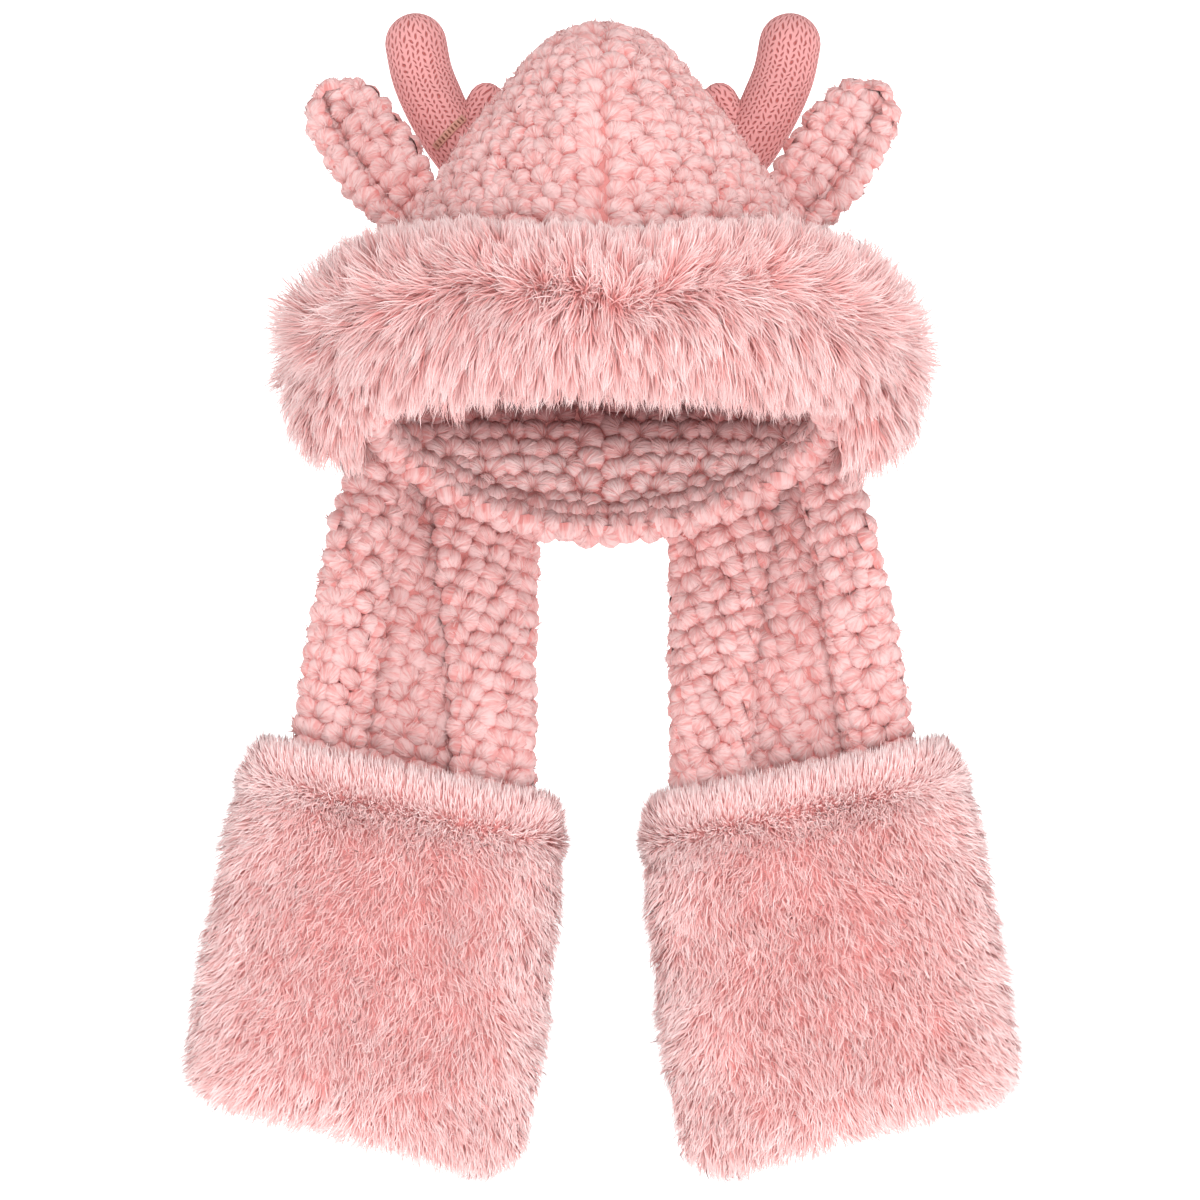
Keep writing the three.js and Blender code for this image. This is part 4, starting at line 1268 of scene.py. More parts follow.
def pocket_flow(pockets, share, far):
    """Roots of a pocket's pile and its comb: up and out on the cuff, curled at the crease, down below it."""
    place, _, down, normal = pocket_roots(pockets, share, far)
    # Shares from 0 to 1: on the cuff, in the crease below it, and at the cuff's rim.
    cuff = np.clip(1 - (far - 0.6 * pockets.cuff) / (0.85 * pockets.cuff), 0, 1)
    crease = np.exp(-(((far - 1.35 * pockets.cuff) / (0.35 * pockets.cuff)) ** 2))
    rim = np.clip(1 - far / (0.35 * pockets.cuff), 0, 1)
    turned = np.interp(np.mod(share, 1.0), TURN_SHARES, TURN_ANGLES)
    aside = rounded(np.cos(turned), SIDE_POWER)
    slope = mix(pockets.top_slope, pockets.bottom_slope, far / pockets.height)
    outward = points(np.cos(slope), 0.0, -np.sin(slope)) * (aside * 0.40)[:, None]
    # Two slow waves turn the pile to and fro, as if a hand had stroked it.
    eddy = np.sin(place[:, 0] * 61 + 2.1 * np.sin(place[:, 2] * 47)) * 0.22
    eddy += np.sin(place[:, 2] * 83 + place[:, 0] * 39) * 0.14
    up = np.array([0.0, 0.0, 1.0])
    upward = unit(0.66 * up * (1 + 0.8 * rim)[:, None] + normal * (0.66 - 0.3 * rim)[:, None])
    downward = unit(down * 0.85 + normal * (0.46 + 0.2 * crease)[:, None] + outward
                    + points(eddy, 0.0, np.abs(eddy) * 0.5))
    way = unit(mix(downward, upward, cuff[:, None]))
    bottom = far / pockets.height
    edge = np.clip(np.maximum(np.abs(aside) ** 2.5, bottom**4), 0, 1)
    long = mix(mix(0.85, 1.05, edge), 0.66, cuff) * (1 - 0.25 * crease * (1 - cuff))
    return place, normal, way, long, cuff, edge


def pocket_pile(name, material, pockets, side, seed):
    """The pile of one pocket, with its cuff."""
    rng = np.random.default_rng(seed)
    _, end, _ = pocket_run(pockets, pockets.pile * 0.8)
    many = pockets.strands

    def surface(u, v):
        return pocket_surface(pockets, u, v, root_margin(pockets, v))

    def weight(u, v):
        """More strands in front, at the sides and on the cuff."""
        front = np.where(np.sin(u * 2 * math.pi) < 0.0, 1.4, 0.8)
        turned = np.interp(np.mod(u, 1.0), TURN_SHARES, TURN_ANGLES)
        front = front * (1 + 0.7 * np.abs(np.cos(turned)) ** 2)
        part = np.exp(-(((v - pockets.cuff) / (0.3 * pockets.cuff)) ** 2))
        return front * (np.where(v < 1.7 * pockets.cuff, 1.9, 1.0) + 1.8 * part)

    reach = (0.0, end + 0.003)
    cells = (120, 80)
    share, far = scatter(surface, (0.0, 1.0), reach, many, rng, cells, weight)
    place, normal, way, grow, cuff, edge = pocket_flow(pockets, share, far)
    strands_in_lock = 21
    locks = int(many / strands_in_lock)
    lock_u, lock_v = scatter(surface, (0.0, 1.0), reach, locks, rng, cells, weight)
    lock_place, _, lock_way, lock_grow, _, _ = pocket_flow(pockets, lock_u, lock_v)
    lock_way = unit(lock_way + rng.normal(0, 0.24, (locks, 3)))
    lock_long = pockets.strand * lock_grow * (1 + rng.normal(0, 0.1, locks))
    lock_tip = lock_place + lock_way * lock_long[:, None]
    lock_tint = rng.random(locks)
    mine = nearest(lock_place, place)
    long = pockets.strand * grow * (1 + rng.normal(0, 0.15, many))
    loose = mix(mix(0.36, 0.16, edge), 0.08, cuff)
    own = place + unit(way + rng.normal(0, 1, way.shape) * loose[:, None]) * long[:, None]
    pull = mix(0.34, 0.0, cuff) + rng.normal(0, 0.1, many) * (1 - cuff)
    tip = own + (lock_tip[mine] - own) * pull[:, None]
    curl = mix(mix(0.20, 0.07, edge), 0.05, cuff)[:, None] * long[:, None]
    bow = normal * (0.12 * long)[:, None] + rng.normal(0, 1, way.shape) * curl
    width = pockets.strand_width * (0.75 + 0.5 * rng.random(many))
    # Paler at the sides, the bottom and on the cuff: painted light where the pile stands out at its outline
    # and on the cuff's roll.
    tint = 0.5 * rng.random(many) + mix(0.25 * lock_tint[mine] + 0.40 * edge, 0.55, cuff)
    tint = np.clip(tint, 0, 1)
    parts = mirrored(side, place - normal * 0.001, tip, bow, normal)
    return strands(name, material, *parts, width, 2, rng, tint)


def pocket_backing(pockets, side, material, name):
    """The cloth under a pocket's pile, turned in at the mouth."""
    _, end, _ = pocket_run(pockets, pockets.pile * 0.8)
    gap = 0.0006
    outer = np.concatenate([np.linspace(gap, 0.032, 10), np.linspace(0.045, end + 0.006, 20)])
    inner = np.array([0.002, pockets.cuff_rise + 0.004, 0.03])
    far = np.concatenate([inner[::-1], outer])
    inside = np.concatenate([np.ones(len(inner)), np.zeros(len(outer))])
    last = len(far) - 1

    def place(u, v):
        row = v * last
        at = np.interp(row, np.arange(last + 1), far)
        within = np.interp(row, np.arange(last + 1), inside)
        margin = mix(root_margin(pockets, at) + gap, pockets.pile + pockets.bag_wall + gap, within)
        return mirrored(side, pocket_surface(pockets, u, at, margin))[0]

    bm = mapped_grid(48, last, place)
    bmesh.ops.remove_doubles(bm, verts=bm.verts, dist=1e-5)
    bmesh.ops.solidify(bm, geom=bm.faces[:], thickness=0.0004)
    return mesh_piece(name, close_up(bm, 1e-6), material)


def soft_copy(name, node, material, levels=1):
    """A rounded copy of a solid's node."""
    bm = bmesh.new()
    bm.from_mesh(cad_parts[node].data)
    bmesh.ops.remove_doubles(bm, verts=bm.verts, dist=2e-5)
    bmesh.ops.join_triangles(bm, faces=bm.faces, angle_face_threshold=0.7, angle_shape_threshold=0.7)
    piece = mesh_piece(name, bm, material)
    subdivide = piece.modifiers.new("Subdivision", "SUBSURF")
    subdivide.levels = levels
    subdivide.render_levels = levels
    return piece


# Scarf arms

ARM_ROWS = named_rows(
    "along flare flap ridge wrap",
    (0.0, 0.0, 1.46, 0.62, 1.0),
    (0.11, 0.06, 1.43, 0.64, 0.93),
    (0.27, 0.27, 1.31, 0.74, 0.72),
    (0.47, 0.52, 1.15, 0.84, 0.38),
    (0.68, 0.76, 1.04, 0.95, 0.1),
    (0.88, 0.93, 1.0, 1.0, 0.0),
    (1.0, 1.0, 0.92, 0.95, 0.0),
)


def arm_surface(hood, pockets, arms, x, depth, along):
    """A point of the left arm: a place across, a depth behind its back layer, a share of its length."""
    slope_down = (hood.nape_drop - hood.side_drop) / (hood.width / 2)
    top = -hood.side_drop + arms.lap - (arms.top_outer + x) * slope_down
    across = (x + pockets.side) / (pockets.width / 2)
    mouth = -pockets.drop - across * pockets.width / 2 * math.sin(pockets.top_slope)
    height = mix(top, mouth - pockets.cuff_rise - arms.tuck, along)
    wrap = column(ARM_ROWS, "along", "wrap", along)
    mouth_depth = pockets.depth * 0.9 - 2 * (pockets.pile + pockets.bag_wall)
    bottom_back = pockets.back + mouth_depth / 2 - arms.wall / 2

    def bend(at):
        return mix(bottom_back, arms.top_back * np.sqrt(np.maximum(0.05, 1 - (at / arms.wrap) ** 2)), wrap)

    slope = (bend(x + 0.001) - bend(x - 0.001)) / 0.002
    normal = unit(points(-slope, 1.0, 0.0))
    return points(x, bend(x), height) + normal * np.asarray(depth)[..., None]


def arm_sizes(arms, along):
    """The arm's outer and inner edges, roll and flap at a share of its length."""
    outer = -mix(arms.top_outer, arms.bottom_outer, float(column(ARM_ROWS, "along", "flare", along)))
    tucked = max(0.0, 1 - (1 - along) / 0.13)
    inner = -arms.inner - tucked * arms.taper
    ridge = arms.ridge * float(column(ARM_ROWS, "along", "ridge", along))
    flap = arms.flap * float(column(ARM_ROWS, "along", "flap", along))
    return outer, inner, ridge, flap


def arm_path(arms, along, puff):
    """The arm's outline across, from the roll's free edge round both folds to the flap's free edge.

    Rows of x, depth, and the outward direction in x and depth.
    """
    outer, inner, ridge, flap = arm_sizes(arms, along)
    half = arms.wall / 2
    layers = arms.wall + arms.fold_gap
    big = (layers + arms.wall) / 2
    rows = []

    def arc(x, depth, radius, start, stop, steps=10):
        for angle in np.radians(np.linspace(start, stop, steps)):
            rows.append((x + radius * math.cos(angle), depth + radius * math.sin(angle),
                         math.cos(angle), math.sin(angle)))

    def front(start, stop, swell, steps=14):
        for share in np.linspace(0, 1, steps):
            lift = swell * math.sin(math.pi * share)
            rows.append((mix(start, stop, share), -layers - half - lift, 0.0, -1.0))

    arc(outer + ridge - half, -layers, half, 40, -90)
    front(outer + ridge - half, outer + big, puff)
    arc(outer + big, -layers / 2, big, 270, 90, 14)
    for share in np.linspace(0, 1, 24):
        rows.append((mix(outer + big, inner - big, share), half, 0.0, 1.0))
    arc(inner - big, -layers / 2, big, 90, -90, 14)
    front(inner - big, inner - flap + half, puff * 0.7)
    arc(inner - flap + half, -layers, half, 270, 140)
    return np.array(rows)


def recess_path(arms, along):
    """The front of the arm's back layer between the roll and the flap."""
    outer, inner, ridge, flap = arm_sizes(arms, along)
    xs = np.linspace(outer + ridge - 0.006, inner - flap + 0.006, 20)
    flat = np.zeros(20)
    return np.stack([xs, flat - arms.wall / 2, flat, flat - 1.0], axis=1)


def arm_tufts(hood, pockets, arms, side, seed, material, fuzz_material, name):
    """The tufts of an arm, row by row round both folds and over the layer between them."""
    field = TuftField(seed)
    long = 0.262
    puff = 0.005
    rows = int(long / arms.tuft_down)
    for row in range(rows):
        along = (row + 0.5) / rows
        for path, rise in ((arm_path(arms, along, puff), 1.08), (recess_path(arms, along), 0.9)):
            at = np.full(len(path), along)
            line = arm_surface(hood, pockets, arms, path[:, 0], path[:, 1], at)
            share = spread(line, arms.tuft_across, stagger(row)) * (len(path) - 1)
            spot = np.stack([np.interp(share, np.arange(len(path)), path[:, k]) for k in range(4)], axis=1)
            at = np.full(len(spot), along)
            place = arm_surface(hood, pockets, arms, spot[:, 0], spot[:, 1], at)
            deeper = arm_surface(hood, pockets, arms, spot[:, 0], spot[:, 1] + 0.001, at)
            aside = arm_surface(hood, pockets, arms, spot[:, 0] + 0.001, spot[:, 1], at)
            lower = arm_surface(hood, pockets, arms, spot[:, 0], spot[:, 1], at + 0.01)
            normal = unit(unit(aside - place) * spot[:, 2:3] + unit(deeper - place) * spot[:, 3:4])
            down = unit(lower - place)
            across = unit(np.cross(normal, down))
            down = np.cross(across, normal)
            keep = ~inside_hood(hood, place, 1.0)
            turned = field.paired(len(keep), row)[keep]
            place, across, down, normal = (part[keep] for part in (place, across, down, normal))
            flat = mirrored(side, place, across, down, normal)
            pitch = (arms.tuft_across, arms.tuft_down)
            field.add(*flat, pitch, hood.tuft_rise * rise, hood.tuft_spread, SUNK, turned)
    return field.build(name, material), field.fuzz(name + "_fuzz", fuzz_material, hood)


def arm_backing(hood, pockets, arms, side, material, name):
    """The folded cloth of an arm, under its tufts, with the width, length and area it was cut to."""
    thin = 0.0016
    layers = arms.wall + arms.fold_gap

    def centre(along):
        outer, inner, ridge, flap = arm_sizes(arms, along)
        half = arms.wall / 2
        fold = layers / 2
        far_turn = outer + fold + half
        near_turn = inner - fold - half
        rows = [(outer + ridge - half, -layers, 0, -1), (far_turn, -layers, 0, -1)]

        def round_fold(x, start, stop):
            for angle in np.radians(np.linspace(start, stop, 7)):
                rows.append((x + fold * math.cos(angle), -fold + fold * math.sin(angle),
                             math.cos(angle), math.sin(angle)))

        round_fold(far_turn, 250, 110)
        for share in np.linspace(0, 1, 8):
            rows.append((mix(far_turn, near_turn, share), 0.0, 0, 1))
        round_fold(near_turn, 70, -70)
        rows.append((near_turn, -layers, 0, -1))
        rows.append((inner - flap + half, -layers, 0, -1))
        return np.array(rows, float)

    size = len(centre(0.5))
    steps = 2 * size
    alongs = np.linspace(0.0, 1.0, 25)
    loops = []
    for along in alongs:
        line = centre(float(along))
        ring = np.concatenate([line[:, :2] + line[:, 2:] * thin, (line[:, :2] - line[:, 2:] * thin)[::-1]])
        loops.append(arm_surface(hood, pockets, arms, ring[:, 0], ring[:, 1], np.full(steps, along)))
    loops = np.array(loops)
    around = np.linalg.norm(np.roll(loops, -1, axis=1) - loops, axis=2).sum(axis=1)
    widths = around / 2 - 2 * thin
    run = np.linalg.norm(np.diff(loops.mean(axis=1), axis=0), axis=1)
    cut = (float(widths.max()), float(run.sum()), float((run * (widths[1:] + widths[:-1]) / 2).sum()))

    def place(u, v):
        column_at = np.rint(u * steps).astype(int) % steps
        row_at = np.rint(v * (len(alongs) - 1)).astype(int)
        return mirrored(side, loops[row_at, column_at])[0]

    bm = cap(mapped_grid(steps, len(alongs) - 1, place))
    bmesh.ops.triangulate(bm, faces=[face for face in bm.faces if len(face.verts) > 4])
    return mesh_piece(name, close_up(bm, 1e-6), material), cut


# Materials

def group_tree(name, inputs, outputs):
    """An empty shader node group with named sockets, and its two ends."""
    tree = bpy.data.node_groups.new(name, "ShaderNodeTree")
    for label, kind, default in inputs:
        socket = tree.interface.new_socket(name=label, in_out="INPUT", socket_type=kind)
        if default is not None:
            socket.default_value = default
    for label, kind in outputs:
        tree.interface.new_socket(name=label, in_out="OUTPUT", socket_type=kind)
    return tree, tree.nodes.new("NodeGroupInput"), tree.nodes.new("NodeGroupOutput")


def feed(tree, target, value):
    """Links a socket into an input, or sets the input to a plain value."""
    if isinstance(value, bpy.types.NodeSocket):
        tree.links.new(value, target)
    else:
        target.default_value = value


def math_node(tree, operation, first, second=None, clamp=False):
    """A Math node; first and second are sockets or numbers. Gives its output socket."""
    node = tree.nodes.new("ShaderNodeMath")
    node.operation = operation
    node.use_clamp = clamp
    feed(tree, node.inputs[0], first)
    if second is not None:
        feed(tree, node.inputs[1], second)
    return node.outputs[0]


def plus(tree, first, second, clamp=False):
    """The sum of two sockets or numbers."""
    return math_node(tree, "ADD", first, second, clamp)


def minus(tree, first, second):
    """The difference of two sockets or numbers."""
    return math_node(tree, "SUBTRACT", first, second)


def times(tree, first, second):
    """The product of two sockets or numbers."""
    return math_node(tree, "MULTIPLY", first, second)


def parts_of(tree, vector):
    """The three parts of a vector, as sockets."""
    node = tree.nodes.new("ShaderNodeSeparateXYZ")
    tree.links.new(vector, node.inputs[0])
    return node.outputs


def mix_colours(tree, factor, first, second, blend="MIX"):
    """A Mix node for colours; each of the three is a socket or a value. Gives its output socket."""
    node = tree.nodes.new("ShaderNodeMix")
    node.data_type = "RGBA"
    node.blend_type = blend
    feed(tree, node.inputs[0], factor)
    for index, value in ((6, first), (7, second)):
        is_socket = isinstance(value, bpy.types.NodeSocket)
        feed(tree, node.inputs[index], value if is_socket else (*value[:3], 1.0))
    return node.outputs[2]


def noise(tree, vector, scale, detail=2.0, rough=0.5):
    """A Noise Texture on a vector, its scale a socket or a number. Gives its factor."""
    node = tree.nodes.new("ShaderNodeTexNoise")
    feed(tree, node.inputs["Scale"], scale)
    node.inputs["Detail"].default_value = detail
    node.inputs["Roughness"].default_value = rough
    tree.links.new(vector, node.inputs["Vector"])
    return node.outputs["Fac"]


def ranged(tree, value, low, high, to_low, to_high):
    """A Map Range node that takes low to to_low and high to to_high, and holds beyond them."""
    node = tree.nodes.new("ShaderNodeMapRange")
    tree.links.new(value, node.inputs["Value"])
    for label, number_in in (("From Min", low), ("From Max", high), ("To Min", to_low), ("To Max", to_high)):
        node.inputs[label].default_value = number_in
    return node.outputs["Result"]


def combine(tree, x, y, z):
    """A vector of three sockets or numbers."""
    node = tree.nodes.new("ShaderNodeCombineXYZ")
    for index, value in enumerate((x, y, z)):
        feed(tree, node.inputs[index], value)
    return node.outputs[0]


def make_mottle_group():
    """Soft uneven dyeing, as a brightness about 1 that changes over a few centimetres."""
    tree, start, end = group_tree(
        "dye_mottle",
        [("Position", "NodeSocketVector", None), ("Patch", "NodeSocketFloat", 24.0),
         ("Depth", "NodeSocketFloat", 0.12)],
        [("Shade", "NodeSocketFloat")],
    )
    patches = noise(tree, start.outputs["Position"], start.outputs["Patch"], 1.0)
    centred = minus(tree, patches, 0.5)
    scaled = times(tree, centred, start.outputs["Depth"])
    shade = plus(tree, times(tree, scaled, 2.0), 1.0)
    tree.links.new(shade, end.inputs["Shade"])
    return tree


def make_fibre_group():
    """Fibres that fan out from the pinch at a tuft's lower edge, on the tuft's own plan."""
    tree, start, end = group_tree(
        "tuft_fibres",
        [("Plan", "NodeSocketVector", None), ("Tuft", "NodeSocketFloat", 0.5)],
        [("Height", "NodeSocketFloat"), ("Streak", "NodeSocketFloat"), ("Crown", "NodeSocketFloat")],
    )
    split = parts_of(tree, start.outputs["Plan"])
    x = minus(tree, times(tree, split[0], 2.0), 1.0)
    y = minus(tree, times(tree, split[1], 2.0), 1.0)
    fan_y = plus(tree, y, 0.82)
    angle = math_node(tree, "ARCTAN2", x, fan_y)
    far = math_node(tree, "SQRT", plus(tree, times(tree, x, x), times(tree, fan_y, fan_y)))
    which = times(tree, start.outputs["Tuft"], 97.0)
    thin_run = combine(tree, times(tree, angle, 5.2), times(tree, far, 0.9), which)
    fine = noise(tree, thin_run, 1.15, 2.5, 0.6)
    wide_run = combine(tree, times(tree, angle, 2.0), times(tree, far, 0.5), which)
    broad = noise(tree, wide_run, 0.9, 1.0)
    streak = plus(tree, times(tree, fine, 0.65), times(tree, broad, 0.35))
    # Crown is 1 in a tuft's middle and falls to 0 at its rim and its pinch: a mask of painted shade at the
    # tuft's feet.
    round_far = plus(tree, times(tree, x, x), times(tree, y, y))
    pinch = ranged(tree, far, 0.05, 0.75, 0.0, 1.0)
    dome = ranged(tree, round_far, 0.35, 1.0, 1.0, 0.0)
    crown = times(tree, dome, pinch)
    tree.links.new(streak, end.inputs["Streak"])
    tree.links.new(streak, end.inputs["Height"])
    tree.links.new(crown, end.inputs["Crown"])
    return tree


def make_knit_group():
    """Knitted courses from a map counted in stitches: raised yarn with slanting holes between."""
    tree, start, end = group_tree(
        "knit_stitches",
        [("Stitches", "NodeSocketVector", None), ("Wander", "NodeSocketVector", None)],
        [("Height", "NodeSocketFloat"), ("Yarn", "NodeSocketFloat")],
    )
    split = parts_of(tree, start.outputs["Stitches"])
    shift = noise(tree, start.outputs["Wander"], 130.0)
    drift = ranged(tree, shift, 0.0, 1.0, -0.8, 0.8)
    x = plus(tree, split[0], drift)
    y = plus(tree, split[1], times(tree, drift, 0.7))
    column_in = minus(tree, math_node(tree, "FRACT", x), 0.5)
    odd = times(tree, math_node(tree, "FRACT", times(tree, x, 0.5)), 2.0)
    odd = math_node(tree, "FLOOR", odd)
    lean = minus(tree, times(tree, odd, 2.0), 1.0)
    row_in = math_node(tree, "FRACT", plus(tree, y, times(tree, odd, 0.5)))
    row_in = minus(tree, row_in, 0.5)
    slanted = plus(tree, column_in, times(tree, times(tree, row_in, lean), 0.45))
    across = math_node(tree, "POWER", math_node(tree, "DIVIDE", slanted, 0.20), 2.0)
    along = math_node(tree, "POWER", math_node(tree, "DIVIDE", row_in, 0.36), 2.0)
    near = plus(tree, across, along)
    yarn = ranged(tree, near, 0.25, 1.5, 0.0, 1.0)
    tree.links.new(yarn, end.inputs["Yarn"])
    tree.links.new(yarn, end.inputs["Height"])
    return tree


def make_nap_group():
    """Fine nap of cloth or plush as a height."""
    tree, start, end = group_tree(
        "cloth_nap",
        [("Position", "NodeSocketVector", None), ("Grain", "NodeSocketFloat", 900.0)],
        [("Height", "NodeSocketFloat")],
    )
    nap = noise(tree, start.outputs["Position"], start.outputs["Grain"], 3.0)
    tree.links.new(nap, end.inputs["Height"])
    return tree


def make_inner_painted_shade_group():
    """Painted light and shade on the inside of the hood: brighter on its lower wall, darker upward into the
    painted shade under the brim.

    Red fades less than the other two channels, so that the painted shade stays warm.
    """
    tree, start, end = group_tree(
        "inner_shade",
        [("Position", "NodeSocketVector", None)],
        [("Red", "NodeSocketFloat"), ("Rest", "NodeSocketFloat")],
    )
    split = parts_of(tree, start.outputs["Position"])
    # Painted light low on the inside wall (up to 1.18) and painted shade under the brim (down to 0.30).
    red = ranged(tree, split[2], -0.236, -0.202, 1.18, 0.30)
    tree.links.new(red, end.inputs["Red"])
    tree.links.new(math_node(tree, "POWER", red, 1.5), end.inputs["Rest"])
    return tree


def place_group(tree, name, make, **inputs):
    """A shared group placed in a material, built the first time it is asked for."""
    node = tree.nodes.new("ShaderNodeGroup")
    node.node_tree = bpy.data.node_groups.get(name) or make()
    for label, value in inputs.items():
        feed(tree, node.inputs[label], value)
    return node


def once(build):
    """Makes a material builder give back the material of that name where there is one already."""
    def found_or_built(name, *values):
        return bpy.data.materials.get(name) or build(name, *values)

    return found_or_built


def new_material(name, roughness, sheen=0.0, specular=0.3):
    """A material with its Principled BSDF, and the Object coordinates for its patterns."""
    material = bpy.data.materials.new(name)
    material.use_nodes = True
    tree = material.node_tree
    shader = tree.nodes["Principled BSDF"]
    shader.inputs["Roughness"].default_value = roughness
    shader.inputs["Specular IOR Level"].default_value = specular
    shader.inputs["Sheen Weight"].default_value = sheen
    shader.inputs["Sheen Roughness"].default_value = 0.5
    shader.inputs["Sheen Tint"].default_value = (1.0, 0.86, 0.85, 1.0)
    position = tree.nodes.new("ShaderNodeTexCoord").outputs["Object"]
    return material, tree, shader, position


def attribute(tree, name):
    """A number stored on the vertices."""
    node = tree.nodes.new("ShaderNodeAttribute")
    node.attribute_name = name
    return node.outputs["Fac"]


def bump(tree, shader, height, strength, distance):
    """Relief on a shader's normal, without new geometry."""
    node = tree.nodes.new("ShaderNodeBump")
    node.inputs["Strength"].default_value = strength
    node.inputs["Distance"].default_value = distance
    tree.links.new(height, node.inputs["Height"])
    tree.links.new(node.outputs["Normal"], shader.inputs["Normal"])


def dye(tree, shader, position, base, patch, depth, each=None, inner=False):
    """Gives a shader its base colour, dyed a little unevenly, and with painted light and shade up the inside
    of the hood where inner is set.
    """
    mottle = place_group(tree, "dye_mottle", make_mottle_group,
                         Position=position, Patch=patch, Depth=depth)
    red = mottle.outputs["Shade"]
    if each is not None:
        red = times(tree, red, each)
    rest = red
    # On the hood's inside: painted light on the lower wall and painted shade under the brim.
    if inner:
        deeper = place_group(tree, "inner_shade", make_inner_painted_shade_group, Position=position)
        rest = times(tree, red, deeper.outputs["Rest"])
        red = times(tree, red, deeper.outputs["Red"])
    tinted = mix_colours(tree, 1.0, base, combine(tree, red, rest, rest), "MULTIPLY")
    tree.links.new(tinted, shader.inputs["Base Color"])


@once
def fleece_material(name, colours, inner=False):
    """Tufts of fleece: pale crowns, feet and pinch deeper as painted shade, fibres fanning from the pinch.
    """
    material, tree, shader, position = new_material(name, 0.88, sheen=0.08 if inner else 0.25, specular=0.15)
    uv = tree.nodes.new("ShaderNodeUVMap")
    uv.uv_map = "UVMap"
    tuft = attribute(tree, "tint")
    fibres = place_group(tree, "tuft_fibres", make_fibre_group, Plan=uv.outputs["UV"], Tuft=tuft)
    # Crown lifts the middle toward the pale fleece, while the rim and pinch keep the painted shade.
    crown = ranged(tree, fibres.outputs["Crown"], 0.0, 0.7, 0.0, 1.0)
    streak = ranged(tree, fibres.outputs["Streak"], 0.40, 0.60, -0.62, 0.36)
    factor = plus(tree, times(tree, crown, 0.66), streak)
    factor = plus(tree, factor, 0.26, clamp=True)
    base = mix_colours(tree, factor, colours.fleece_shade_and_streak, colours.fleece)
    each = ranged(tree, tuft, 0.0, 1.0, 0.94, 1.04)
    dye(tree, shader, position, base, 16.0, 0.10, each, inner)
    bump(tree, shader, fibres.outputs["Height"], 0.9, 0.0022)
    return material


@once
def pile_material(name, root, tip, inner=False):
    """Fur: deep at the roots, partly its own colour and partly painted shade deep in the pile, pale at the
    tips, each strand a little different.
    """
    material, tree, shader, position = new_material(name, 0.6, sheen=0.24, specular=0.12)
    shader.inputs["Sheen Tint"].default_value = (1.0, 0.74, 0.72, 1.0)
    along = attribute(tree, "along")
    tint = attribute(tree, "tint")
    # Deeper toward the roots: partly the fur's own colour, partly painted shade in the depth of the pile.
    rise = ranged(tree, along, 0.12, 0.95, 0.0, 1.0)
    rise = math_node(tree, "POWER", rise, 1.15)
    # The tint carries each strand's own tone and, on the brim and pockets, the painted light and shade given
    # to it there.
    warm = ranged(tree, tint, 0.0, 1.0, -0.42, 0.40)
    factor = plus(tree, plus(tree, rise, warm), 0.06, clamp=True)
    base = mix_colours(tree, factor, root, tip)
    each = ranged(tree, tint, 0.0, 1.0, 0.90, 1.08)
    dye(tree, shader, position, base, 30.0, 0.10, each, inner)
    return material


def loose_material(name, colours, inner=False):
    """The loose fibres on the fleece, as pale as its crowns."""
    root = [mix(deep, pale, 0.7) for deep, pale in zip(colours.fleece_shade_and_streak, colours.fleece)]
    return pile_material(name, root, colours.fleece, inner)


@once
def cloth_material(name, colour_value, grain, strength):
    """Plain napped cloth, for backings and the pockets' plush."""
    material, tree, shader, position = new_material(name, 0.95, sheen=0.2, specular=0.1)
    nap = place_group(tree, "cloth_nap", make_nap_group, Position=position, Grain=grain)
    dye(tree, shader, position, colour_value, 60.0, 0.2)
    bump(tree, shader, nap.outputs["Height"], strength, 0.0012)
    return material


def fleece_cloth(colours):
    """The cloth that carries the fleece tufts, deeper than them as painted shade in the gaps between them.
    """
    return cloth_material("fleece_backing", colours.backing, 700.0, 0.6)


def pile_cloth(colours):
    """The cloth that the fur grows on."""
    return cloth_material("pile_backing", colours.pile_backing, 900.0, 0.5)


@once
def knit_material(name, colours):
    """Knitted yarn with dark gaps between its stitches."""
    material, tree, shader, position = new_material(name, 0.85, sheen=0.15, specular=0.2)
    uv = tree.nodes.new("ShaderNodeUVMap")
    uv.uv_map = "UVMap"
    knit = place_group(tree, "knit_stitches", make_knit_group,
                       Stitches=uv.outputs["UV"], Wander=position)
    base = mix_colours(tree, knit.outputs["Yarn"], colours.yarn_deep, colours.yarn)
    dye(tree, shader, position, base, 40.0, 0.14)
    bump(tree, shader, knit.outputs["Height"], 0.8, 0.0012)
    return material


# Studio

def add_light(name, place, aim, size, watts):
    """A round soft light that faces the hood."""
    light = bpy.data.lights.new(name, "AREA")
    light.shape = "DISK"
    light.size = size
    light.energy = watts
    holder = bpy.data.objects.new(name, light)
    holder.location = place
    holder.rotation_euler = (Vector(aim) - Vector(place)).to_track_quat("-Z", "Y").to_euler()
    bpy.context.scene.collection.objects.link(holder)


